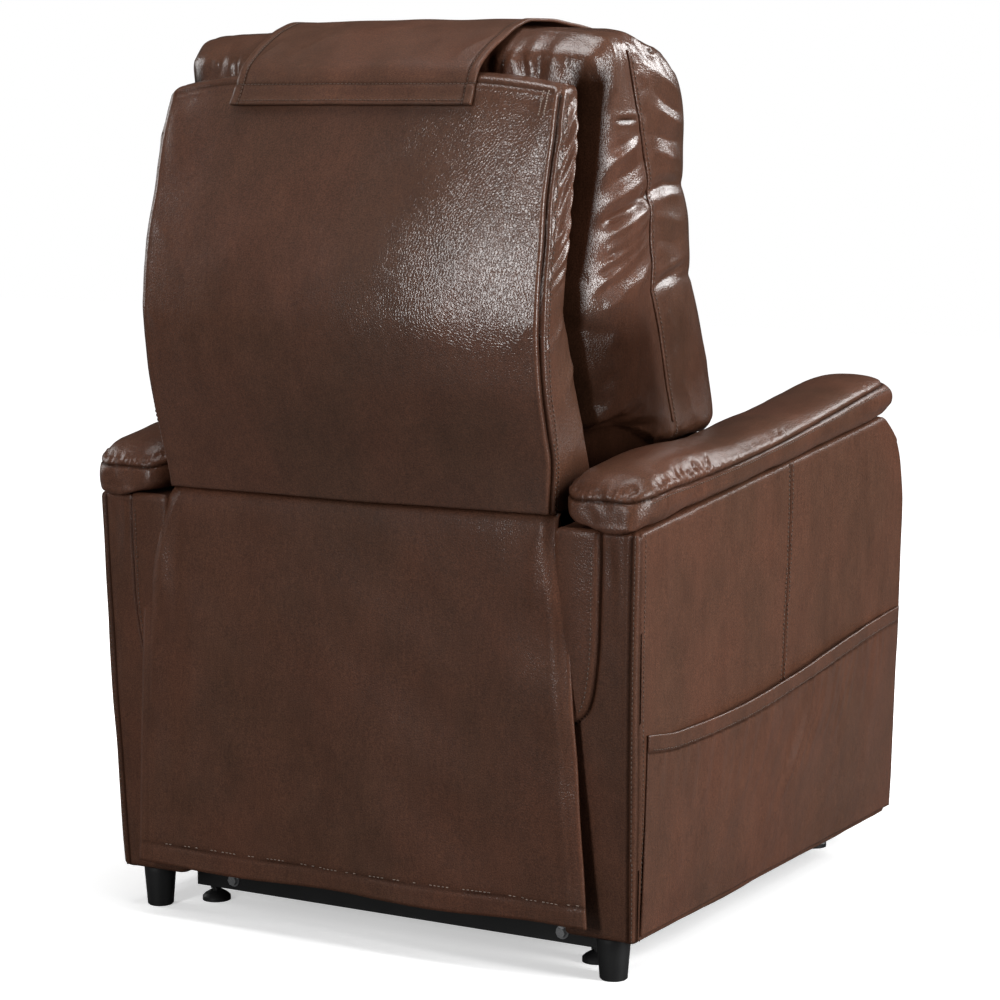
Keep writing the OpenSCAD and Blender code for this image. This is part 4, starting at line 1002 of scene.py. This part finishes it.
def arm_cover(sg):
    """Upholstered arm: sg -1 is the sitter's right arm, with the pocket."""
    zt = np.concatenate([np.linspace(0, 0.02, 5), np.linspace(0.025, 0.972, 160), np.linspace(0.977, 1, 8)])
    r = 7.0
    # one ring: inner face, rear, outer face, front, with rounded corners between them
    q = np.linspace(0, math.pi / 2, 7)
    rear_n, side_n = 50, 220
    rings = []
    for s in zt:
        under = 4 * (1 - math.sqrt(max(0.0, 1 - ((0.012 - s) / 0.012) ** 2))) if s < 0.012 else 0.0
        over = 6 * (1 - math.sqrt(max(0.0, 1 - ((s - 0.985) / 0.015) ** 2))) if s > 0.985 else 0.0
        inn, out = SEAT_HALF + 0.2 + under + over, arm_outer(mix(ARM_LOW, 560.0, s)) - under - over
        back, fore = arm_rear(mix(49, 515, s)) + under + over, arm_fore(mix(49, 584, s)) - under - over
        xs = [np.linspace(inn + r, out - r, rear_n), out - r + r * np.sin(q[1:]), np.full(side_n, out),
              out - r + r * np.cos(q[1:]), np.linspace(out - r, inn + r, 24)[1:], inn + r - r * np.sin(q[1:]),
              np.full(60, inn), inn + r - r * np.cos(q[1:-1])]
        fs = [np.full(rear_n, back), back + r - r * np.cos(q[1:]), np.linspace(back + r, fore - r, side_n),
              fore - r + r * np.sin(q[1:]), np.full(23, fore), fore - r + r * np.cos(q[1:]),
              np.linspace(fore - r, back + r, 60), back + r - r * np.sin(q[1:-1])]
        x, f = np.concatenate(xs), np.concatenate(fs)
        rings.append(xyz(sg * x, f, mix(ARM_LOW, pad_seam(f) - 0.6, s)))
    ob = mesh_of("arm_" + SIDES[sg], loft(rings))
    p = points(ob)
    x, f, z = p.T
    ax = np.abs(x)
    top = pad_seam(f)
    outer = smooth((ax - arm_outer(z) + 5) / 4)
    rearward = smooth((arm_rear(z) + 5 - f) / 4)
    # soft filling under the cover
    full = arch((f + 30) / 760) ** 0.5 * arch((z - 40) / (top - 40)) ** 0.6
    out = outer * (3.0 * full + 0.8 * ripple(p, 170, 61) + 0.3 * ripple(p, 60, 62))
    out += rearward * (2.0 * arch((z - 46) / 470) + 0.5 * ripple(p, 80, 63))
    painted_shade = np.zeros(len(p))
    zl = np.linspace(52, 514, 120)
    side_path = np.array([[sg * arm_outer(zz), float(np.interp(zz, [290, 552], [345, 354])), zz]
                          for zz in np.linspace(60, 550, 90)])
    # the seams, each with shade painted into its groove
    for path, d, w in ((xyz(sg * (arm_outer(zl) - 9), arm_rear(zl) + 0 * zl, zl), 1.3, 1.8),
                       (xyz(sg * (arm_outer(zl) - 1), arm_rear(zl) + 5, zl), 1.5, 1.8),
                       (side_path, 1.6, 2.0),
                       (xyz(sg * (arm_outer(zl + 30) - 2), arm_fore(zl + 30) - 4, zl + 30), 1.2, 2.0)):
        sew(p, out, painted_shade, path, d, w, 0.6, 0.8)
    # the tab of the inner panel that turns round the rear edge
    edge = table([[292, 274], [300, 289], [312, 300], [340, 308], [393, 314], [500, 317], [530, 317]])(z)
    inside = edge - ax
    on_tab = smooth((inside + 1) / 4) * smooth((z - 296) / 5) * rearward
    out += on_tab * (3.6 + 3.2 * arch((ax - 258) / (edge - 258)) ** 0.7)
    # painted shade in the groove along the tab's edge
    rim = bell(inside + 1.2, 1.8) * smooth((z - 292) / 4) * rearward
    out -= 2.6 * rim
    painted_shade = np.maximum(painted_shade, 0.95 * rim)
    # small tucks under the pad and along the rear edge
    rng = np.random.default_rng(70 + sg)
    folds = []
    for at in np.arange(0, 690, 30.0):
        at += rng.uniform(-10, 10)
        t0 = float(pad_seam(at))
        folds.append([[[sg * arm_outer(520), at, t0 - 2],
                       [sg * arm_outer(500), at + rng.uniform(-8, 8), t0 - rng.uniform(14, 30)]],
                      -rng.uniform(0.3, 0.9), rng.uniform(3.5, 6)])
    folds += sided(sg, [[[[362, 6, 512], [364, 22, 480], [360, 30, 400]], 2.2, 8],
                        [[[364, 30, 530], [366, 60, 512], [366, 110, 520]], 1.6, 8],
                        [[[340, -40, 508], [342, -42, 470], [340, -40, 400]], 1.4, 6],
                        [[[330, -40, 510], [329, -42, 490], [331, -42, 450]], -1.2, 4],
                        [[[358, 640, 80], [362, 560, 150], [364, 480, 190]], 0.8, 18],
                        [[[356, 60, 60], [358, 90, 130], [360, 90, 210]], 0.8, 14]])
    out += creases(p, folds)
    push(ob, out)
    p = points(ob)
    p[:, 0] = sg * np.clip(np.abs(p[:, 0]), SEAT_HALF + 0.1, 379)
    set_points(ob, p)
    shade(ob, painted_shade)
    side_ = SIDES[sg]
    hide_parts("arm_cover_" + side_)
    finish(ob, "chair", flat_hide)
    zr = np.linspace(312, 500, 50)
    tab = table([[304, 288], [325, 298], [393, 307], [520, 310]])(zr)
    rows = [xyz(sg * (arm_outer(zl) - 4.5), arm_rear(zl) + 0 * zl, zl),
            xyz(sg * arm_outer(zl), arm_rear(zl) + 13, zl),
            side_path + [0, -6, 0], side_path + [0, 5, 0], xyz(sg * tab, arm_rear(zr) - 7, zr)]
    stitches("arm_stitches_" + side_, ob, rows, "chair")


def arm_pad(sg):
    """Pad on top of the arm: a gathered top panel above a boxing strip, round at both ends."""
    low, high = -52.0, 672.0
    long = high - low
    steps = np.concatenate([44 * rounding_in(0.06, 1, 16), np.linspace(47, long - 73, 160),
                            long - 70 + 69.6 * rounding_out(0, 0.99, 24)])
    c, s_ = circle(120)
    half, rings = 59.5, []
    power = np.where(s_ > 0, 2.3, 3.6)
    for st in steps:
        f = low + st
        e = float(min(rounded_end(st, 56), rounded_end(long - st, 70)))
        rise = 1 - 0.21 * float(smooth((f - 60) / 180)) + 0.07 * float(smooth((f - 420) / 160))
        h = 67 * rise * mix(0.4, 1, e)
        w = (half - 2) * mix(0.5 if st < 200 else 0.72, 1, e)
        x = SEAT_HALF + half + w * squared(c, 2 / power)
        dz = squared(s_, 2 / power) * np.where(s_ > 0, 0.56 * h - 2.5, 0.44 * h)
        # the rear end hangs over the edge of the arm
        sag = 7 * smooth((-20 - f) / 30) * smooth((np.abs(x) - 300) / 30)
        z = pad_seam(f) + 0.44 * h + dz + (1 - e) * 6.7 + 0.5 - np.where(s_ < 0, sag, 0.3 * sag)
        rings.append(xyz(sg * x, f, z))
    ob = mesh_of("arm_pad_%s_cover" % SIDES[sg], loft(rings))

    def held(p):
        return smooth((pad_seam(p[:, 1]) + 8 - p[:, 2]) / 5)

    inflate(ob, 4.5, 3, 3.0, held, 1.0)
    p = points(ob)
    x, f, z = p.T
    ax = np.abs(x)
    rel = z - pad_seam(f)
    painted_shade = np.zeros(len(p))
    seam_h = table([[-60, 33], [-30, 36], [0, 38], [76, 34], [248, 31], [450, 36], [620, 44], [680, 46]])
    mid = SEAT_HALF + half
    rim = np.clip(smooth((np.abs(ax - mid) - 30) / 12) + smooth((-32 - f) / 8) + smooth((f - 640) / 10), 0, 1)
    d = rel - seam_h(f)
    out = 0.8 * ripple(p, 110, 81) + 0.3 * ripple(p, 45, 82)
    out += rim * (0.9 * bell(d - 6, 4.0) - 2.4 * bell(d, 1.9))
    out -= rim * 1.4 * smooth((1 - d) / 5) * smooth((rel - 3) / 8)     # the boxing strip lies a little deeper
    # painted shade in the piped seam's groove
    painted_shade = np.maximum(painted_shade, rim * 0.9 * bell(d, 1.8))
    rng = np.random.default_rng(90 + sg)
    folds = []
    # gathers along the seam towards the rear end, fading forwards
    for at in np.concatenate([np.arange(-48, 140, 9.5), np.arange(150, 330, 22.0), np.arange(560, 672, 9.0)]):
        at += rng.uniform(-2.5, 2.5)
        strong = 1.0 if at < 120 else (0.3 if at < 400 else 0.5)
        z0 = float(pad_seam(at) + seam_h(at))
        for k in (1, -1):
            xx = mid + k * 58
            l = rng.uniform(10, 22) * (0.6 + 0.5 * strong)
            folds.append([[[sg * xx, at, z0 + 1.5],
                           [sg * (xx - k * 5), at + rng.uniform(-3, 8), z0 + 0.55 * l],
                           [sg * (xx - k * 16), at + rng.uniform(0, 12), z0 + 0.9 * l]],
                          -rng.uniform(2.6, 4.4) * strong, rng.uniform(2.0, 3.0)])
            folds.append([[[sg * (xx - k), at + 4.5, z0 + 3], [sg * (xx - k * 8), at + 6.5, z0 + 0.7 * l]],
                          rng.uniform(2.0, 3.2) * strong, 2.8])
    for at in np.arange(mid - 46, mid + 52, 8.5):
        at += rng.uniform(-2.5, 2.5)
        z0 = float(pad_seam(-48) + 33)
        folds.append([[[sg * at, -52, z0 + 1], [sg * (at + rng.uniform(-4, 4)), -46, z0 + 10],
                       [sg * (at + rng.uniform(-6, 6)), -30, z0 + 18]], -rng.uniform(2.4, 4.0),
                       rng.uniform(2.2, 3.2)])
        folds.append([[[sg * at, 672, pad_seam(665) + 40], [sg * at, 668, pad_seam(665) + 26]], -0.9, 2.6])
    for at in np.arange(585, 668, 8.0):
        z0 = float(pad_seam(at) + seam_h(at))
        folds.append([[[sg * (mid + 58), at, z0 - 2], [sg * (mid + 58), at - 2, z0 - 22]], -0.8, 2.4])
    folds += sided(sg, [[[[mid + 10, -40, pad_seam(-30) + 52], [mid + 34, 10, pad_seam(10) + 58],
                          [mid + 36, 80, pad_seam(80) + 52]], -1.6, 6],
                        [[[mid - 10, 100, pad_seam(120) + 56], [mid + 30, 160, pad_seam(170) + 50]],
                         -1.2, 7],
                        [[[mid + 40, 200, pad_seam(200) + 46], [mid + 20, 300, pad_seam(300) + 50]],
                         1.0, 10]])
    out += creases(p, folds)
    # the boxing strip's end piece wraps the rear, its seams with shade painted into their grooves
    for k in (1, -1):
        sew(p, out, painted_shade, [[sg * (mid + k * 58), 3, pad_seam(3) + 2],
                           [sg * (mid + k * 58), 3, pad_seam(3) + 36]], 1.6, 1.6, 0.8, 0.7)
    push(ob, out)
    p = points(ob)
    p[:, 0] = sg * np.clip(np.abs(p[:, 0]), SEAT_HALF + 0.1, 383)
    rests = (p[:, 1] > arm_rear(515) + 1) & (np.abs(p[:, 0]) < arm_outer(540) - 1)
    p[:, 2] = np.where(rests, np.maximum(p[:, 2], pad_seam(p[:, 1]) + 0.1), p[:, 2])
    set_points(ob, p)
    shade(ob, painted_shade)
    side_ = SIDES[sg]
    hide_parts("arm_pad_" + side_)
    finish(ob, "chair", pad_hide)
    fl = np.linspace(-30, 650, 130)
    rows = [xyz(sg * (mid + k * 58) + 0 * fl, fl, pad_seam(fl) + seam_h(fl) - 5) for k in (1, -1)]
    stitches("arm_pad_stitches_" + side_, ob, rows, "chair")


def side_pocket():
    """Gathered pocket on the sitter's right arm, hemmed along its mouth."""
    m, n = 220, 100
    u, v = np.meshgrid(np.linspace(0, 1, m), np.linspace(0, 1, n), indexing="ij")
    f = mix(-12.0, 706.0, u)
    mouth = 279 + 46 * smooth((f - 120) / 620) + 8 * smooth((60 - f) / 90)
    z = mix(57.0, mouth, v)
    off = 0.9 + 8.5 * np.sin(math.pi * u) ** 0.8 * v ** 0.9
    off += 1.2 * np.sin(math.pi * u) * v * (1 - v) * 4 * np.sin(2 * math.pi * (3.2 * u - 1.1 * v))
    off += 3.0 * smooth((z - 46) / 60) * arch((f + 30) / 760) ** 0.5
    grid = xyz(-(arm_outer(z) + off), f, z)
    flat = grid.reshape(-1, 3) * [0, 1, 1]
    rng = np.random.default_rng(33)
    folds = []
    # a fan of folds hangs from the hem, leaning back as it falls
    for at in np.concatenate([np.arange(20, 660, 30.0), [330, 352, 410, 438, 470, 505]]):
        at += rng.uniform(-9, 9)
        z0 = float(279 + 46 * smooth((at - 120) / 620)) - 18
        big = math.exp(-(((at - 400) / 190) ** 2))
        l = rng.uniform(35, 70) + 105 * big * rng.uniform(0.5, 1.1)
        lean = (0.10 + 0.45 * big) * l
        h = rng.uniform(0.6, 1.3) + 2.0 * big * rng.uniform(0.5, 1.0)
        q = [[0, at, z0], [0, at - lean * 0.4, z0 - l * 0.5], [0, at - lean, z0 - l]]
        folds += pleat(q, h, rng.uniform(4.5, 7) + 2 * big, [0, rng.uniform(11, 17), 0])
    folds += [[[[0, 250, 215], [0, 190, 150], [0, 150, 90]], 1.8, 15],
              [[[0, 560, 230], [0, 500, 150], [0, 470, 90]], 1.3, 16],
              [[[0, 90, 240], [0, 70, 170], [0, 66, 100]], 1.2, 12],
              [[[0, 640, 250], [0, 610, 180], [0, 600, 110]], 1.2, 14]]
    wav = creases(flat, folds).reshape(m, n) * smooth(np.minimum(u, 1 - u) / 0.05) * smooth(v / 0.15)
    wav = wav + 0.7 * ripple(flat, 60, 35).reshape(m, n) * np.sin(math.pi * u)
    below = mouth - z
    gather = 0.6 * np.sin(f / 3.1 + 2 * np.sin(f / 47)) * bell(below - 24, 9)
    gather = gather * smooth(np.minimum(u, 1 - u) / 0.08)
    grid[..., 0] -= np.maximum(wav + gather, -off + 0.6)
    hem = 0.9 * smooth((19 - below) / 3) - 0.9 * bell(below - 20, 1.6)
    thick = np.zeros(grid.shape)
    thick[..., 0] = -(2.1 + hem)
    ob = mesh_of("side_pocket_cloth", cloth(grid, thick))
    # painted shade in the hem's stitch groove
    painted_shade = 0.7 * bell(below - 20, 1.5)
    shade_cloth(ob, painted_shade)
    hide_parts("side_pocket")
    finish(ob, "chair", pad_hide)
    k = np.arange(4, m - 4, 2)
    fl = f[k, 0]
    row = xyz(grid[k, -9, 0] - 3, fl, 279 + 46 * smooth((fl - 120) / 620) + 8 * smooth((60 - fl) / 90) - 17)
    st = stitches("side_pocket_stitches", ob, [row], "chair", 5.4, 3.8, 0.55)


# ---------------------------------------------------------------- seat and footrest
def seat_cushion():
    low, top = 389.6, 476.0
    steps = np.concatenate([44 * rounding_in(0.05, 1, 12), np.linspace(48, 382, 80),
                            430 - 44 * (1 - rounding_out(0, 0.99, 14))])
    c, s_ = circle(180)
    rings = []
    for st in steps:
        f = 292 + st
        e = float(min(rounded_end(st, 44), rounded_end(430 - st, 44)))
        h = (top - low - 6) * (0.80 + 0.20 * math.sin(math.pi * st / 430))
        half = 250 * (0.965 + 0.035 * e)
        x = half * squared(c, 0.4)
        dz = h / 2 * mix(0.42, 1, e) * squared(s_, 0.4)
        crown = np.where(dz > 0, 0.16 * h * (1 - (np.abs(x) / half) ** 2) - 0.10 * h, 0)
        rings.append(xyz(x, f, low + h / 2 + dz + crown))
    ob = mesh_of("seat_cushion_cover", loft(rings))

    def held(p):
        return smooth((low + 8 - p[:, 2]) / 6)

    inflate(ob, 5.5, 9, 4.0, held, 1.2)
    p = points(ob)
    x, f, z = p.T
    ax = np.abs(x)
    out = 1.2 * ripple(p, 120, 101) + 0.5 * ripple(p, 50, 102)
    painted_shade = np.zeros(len(p))
    rim = (ax > 238) | (f > 700)
    # two seams round the sides and front, each with shade painted into its groove
    for level, d in ((452, 2.4), (398, 2.0)):
        out -= rim * d * bell(z - level, 2.6)
        painted_shade = np.maximum(painted_shade, rim * 0.8 * bell(z - level, 2.2))
    rng = np.random.default_rng(14)
    folds = []
    for at in np.linspace(-235, 235, 30):
        at += rng.uniform(-5, 5)
        folds.append([[[at, 718, 450], [at + rng.uniform(-5, 5), 706, 462],
                       [at + rng.uniform(-8, 8), 684, 468]], -rng.uniform(0.8, 2.0), rng.uniform(4, 6)])
    for sg in (-1, 1):
        folds += sided(sg, [[[[230, 690, 464], [190, 640, 472], [160, 580, 475]], -2.0, 12],
                            [[[60, 420, 478], [120, 380, 476], [190, 350, 472]], -1.6, 14]])
    out += creases(p, folds)
    push(ob, out)
    p = points(ob)
    p[:, 0] = np.clip(p[:, 0], -258.5, 258.5)
    p[:, 2] = np.maximum(p[:, 2], low)
    set_points(ob, p)
    shade(ob, painted_shade)
    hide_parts("seat_cushion")
    finish(ob, "chair")
    wide = np.linspace(-232, 232, 70)
    stitches("seat_cushion_stitches", ob, [xyz(wide, 722, 457), xyz(wide, 722, 447)], "chair")


def front_band():
    zs = np.concatenate([353.2 + 13 * rounding_in(0, 1, 7), np.linspace(368, 374, 6),
                         388.8 - 13 * (1 - rounding_out(0, 1, 7))])
    u = np.linspace(-1, 1, 150)
    rings = []
    for z in zs:
        e = float(min(rounded_end(z - 353.2, 13), rounded_end(388.8 - z, 13)))
        x = u * 258.6
        fore = 704 + 11.5 * e - 4 * smooth((np.abs(u) - 0.97) / 0.03) + 0.8 * np.sin(u * 40) * e
        rings.append(np.concatenate([xyz(x, fore, z), xyz(x[::-1], 676.6, z)]))
    ob = mesh_of("seat_front_band_cover", loft(rings))
    push(ob, 0.5 * ripple(points(ob), 60, 111))
    p = points(ob)
    p[:, 0] = np.clip(p[:, 0], -259, 259)
    p[:, 1] = np.maximum(p[:, 1], 676.4)
    p[:, 2] = np.clip(p[:, 2], 353.0, 389.0)
    set_points(ob, p)
    shade(ob, 0 * p[:, 0])
    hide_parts("seat_front_band")
    finish(ob, "chair")
    wide = np.linspace(-250, 250, 60)
    stitches("seat_front_band_stitches", ob, [xyz(wide, 716, 382)], "chair")


def footrest_pad():
    low, high, half = 78.0, 326.0, 249.0
    zs = np.concatenate([low + 36 * rounding_in(0.05, 1, 12), np.linspace(low + 40, high - 40, 50),
                         high - 36 + 36 * rounding_out(0, 0.98, 12)])
    c, s_ = circle(170)
    rings = []
    for z in zs:
        e = float(min(rounded_end(z - low, 36), rounded_end(high - z, 36)))
        t = 42 * mix(0.4, 1, e)
        x = (half - 3) * mix(0.965, 1, e) * squared(c, 0.5)
        d = t / 2 * squared(s_, 0.5)
        d = d + np.where(d > 0, 5 * e * (1 - (np.abs(x) / half) ** 2), 0)
        rings.append(xyz(x, 662.4 + t / 2 + d, z))
    ob = mesh_of("footrest_pad_cover", loft(rings))

    def held(p):
        return smooth((668 - p[:, 1]) / 4)

    inflate(ob, 5.0, 6, 4.0, held, 1.2)
    p = points(ob)
    x, f, z = p.T
    out = 1.0 * ripple(p, 100, 121) + 0.4 * ripple(p, 45, 122)
    rim = (f > 668) & (f < 705)
    edge = ((np.abs(x) > half - 12) | (z > high - 12) | (z < low + 12)) & rim
    # the seam round the front edge, with shade painted into its groove
    out -= edge * 1.8 * bell(f - 690, 2.4)
    painted_shade = edge * 0.8 * bell(f - 690, 2.2)
    rng = np.random.default_rng(19)
    folds = []
    for at in np.linspace(-225, 225, 26):
        for z0, k in ((high - 6, -1), (low + 6, 1)):
            at += rng.uniform(-4, 4)
            folds.append([[[at, 700, z0], [at + rng.uniform(-4, 4), 708, z0 + k * 16]],
                          -rng.uniform(0.6, 1.6), 4.5])
    out += creases(p, folds)
    push(ob, out)
    p = points(ob)
    p[:, 0] = np.clip(p[:, 0], -252, 252)
    p[:, 1] = np.maximum(p[:, 1], 662.3)
    set_points(ob, p)
    shade(ob, painted_shade)
    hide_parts("footrest_pad")
    finish(ob, "footrest")


outer_back()
back_flap()
back_cushion()
head_pillow()
pillow_strap()
for hand in (-1, 1):
    arm_cover(hand)
    arm_pad(hand)
side_pocket()
seat_cushion()
front_band()
footrest_pad()


# ---------------------------------------------------------------- studio
def studio():
    wide = np.linspace(-9000, 9000, 25)
    floor = mesh_of("floor", cloth(xyz(wide[:, None], wide[None], 0.0), np.array([0, 0, -20.0])))
    fm, ft, fb = material("pale_floor_painted_glow")
    ray = node(ft, "ShaderNodeLightPath").outputs["Is Camera Ray"]
    pale = ramp(ft, noise(ft, 2.0, 2.0, 0.5), [(0.3, 0.90), (0.7, 0.93)])
    feed(ft, fb, {"Base Color": mixed(ft, "MIX", ray, (0.11, 0.11, 0.11), pale), "Roughness": 0.85,
                  "Specular IOR Level": 0.2})
    # painted glow: to the camera the floor glows as well as being lit, a little near the chair and up to
    # white away from it; to the lights and in reflections it is dark grey
    away = node(ft, "ShaderNodeVectorMath", operation="LENGTH")
    ft.links.new(object_coords(ft), away.inputs[0])
    painted_glow = node(ft, "ShaderNodeEmission")
    ft.links.new(ramp(ft, away.outputs["Value"], [(0.55, 0.45), (1.0, 1.0)]), painted_glow.inputs["Color"])
    ft.links.new(ray, painted_glow.inputs["Strength"])
    both = node(ft, "ShaderNodeAddShader")
    ft.links.new(fb.outputs[0], both.inputs[0])
    ft.links.new(painted_glow.outputs[0], both.inputs[1])
    ft.links.new(both.outputs[0], ft.nodes["Material Output"].inputs["Surface"])
    floor.data.materials.append(fm)

    world = bpy.data.worlds.new("studio")
    bpy.context.scene.world = world
    world.use_nodes = True
    t = world.node_tree
    t.nodes.clear()
    seen = node(t, "ShaderNodeBackground", Strength=1.0)
    seen.inputs["Color"].default_value = (1, 1, 1, 1)
    lit = node(t, "ShaderNodeBackground", Strength=0.035)
    lit.inputs["Color"].default_value = (1.0, 0.985, 0.97, 1)
    ray = node(t, "ShaderNodeLightPath")
    both = node(t, "ShaderNodeMixShader")
    end = node(t, "ShaderNodeOutputWorld")
    t.links.new(ray.outputs["Is Camera Ray"], both.inputs[0])
    t.links.new(lit.outputs[0], both.inputs[1])
    t.links.new(seen.outputs[0], both.inputs[2])
    t.links.new(both.outputs[0], end.inputs[0])

    def softbox(name, at, aim, w, h, power, colour=(1, 1, 1)):
        d = bpy.data.lights.new(name, "AREA")
        d.shape, d.size, d.size_y, d.energy, d.color = "RECTANGLE", w, h, power, colour
        o = bpy.data.objects.new(name, d)
        bpy.context.collection.objects.link(o)
        o.location = at
        o.rotation_euler = (Vector(aim) - Vector(at)).to_track_quat("-Z", "Y").to_euler()

    softbox("key_behind", (0.38, 3.5, 1.5), (-0.1, 0.3, 0.8), 0.50, 2.1, 62)
    softbox("side_right", (-3.4, 0.3, 1.6), (0, 0, 0.7), 0.8, 2.8, 160)
    softbox("overhead", (0, 0.4, 3.4), (0, 0, 0.4), 1.5, 1.5, 50)
    softbox("front_high", (-1.95, -3.4, 2.6), (-0.1, 0, 0.8), 1.7, 1.3, 80)
    softbox("fill_left", (3.4, 0.4, 1.7), (0, 0, 0.6), 1.4, 2.0, 42)

    cam = bpy.data.cameras.new("camera")
    # the photo's own camera, as fitted to the chair's outline
    cam.lens, cam.sensor_width, cam.clip_end = 104.97, 36.0, 60
    eye = bpy.data.objects.new("camera", cam)
    bpy.context.collection.objects.link(eye)
    yaw, pitch = math.radians(29.888), math.radians(7.64)
    look = Vector((math.sin(yaw) * math.cos(pitch), -math.cos(yaw) * math.cos(pitch), -math.sin(pitch)))
    eye.location = (-1.791, 3.1316, 0.971)
    eye.rotation_euler = look.to_track_quat("-Z", "Y").to_euler()
    bpy.context.scene.camera = eye
    bpy.context.scene.view_settings.view_transform = "Standard"


studio()
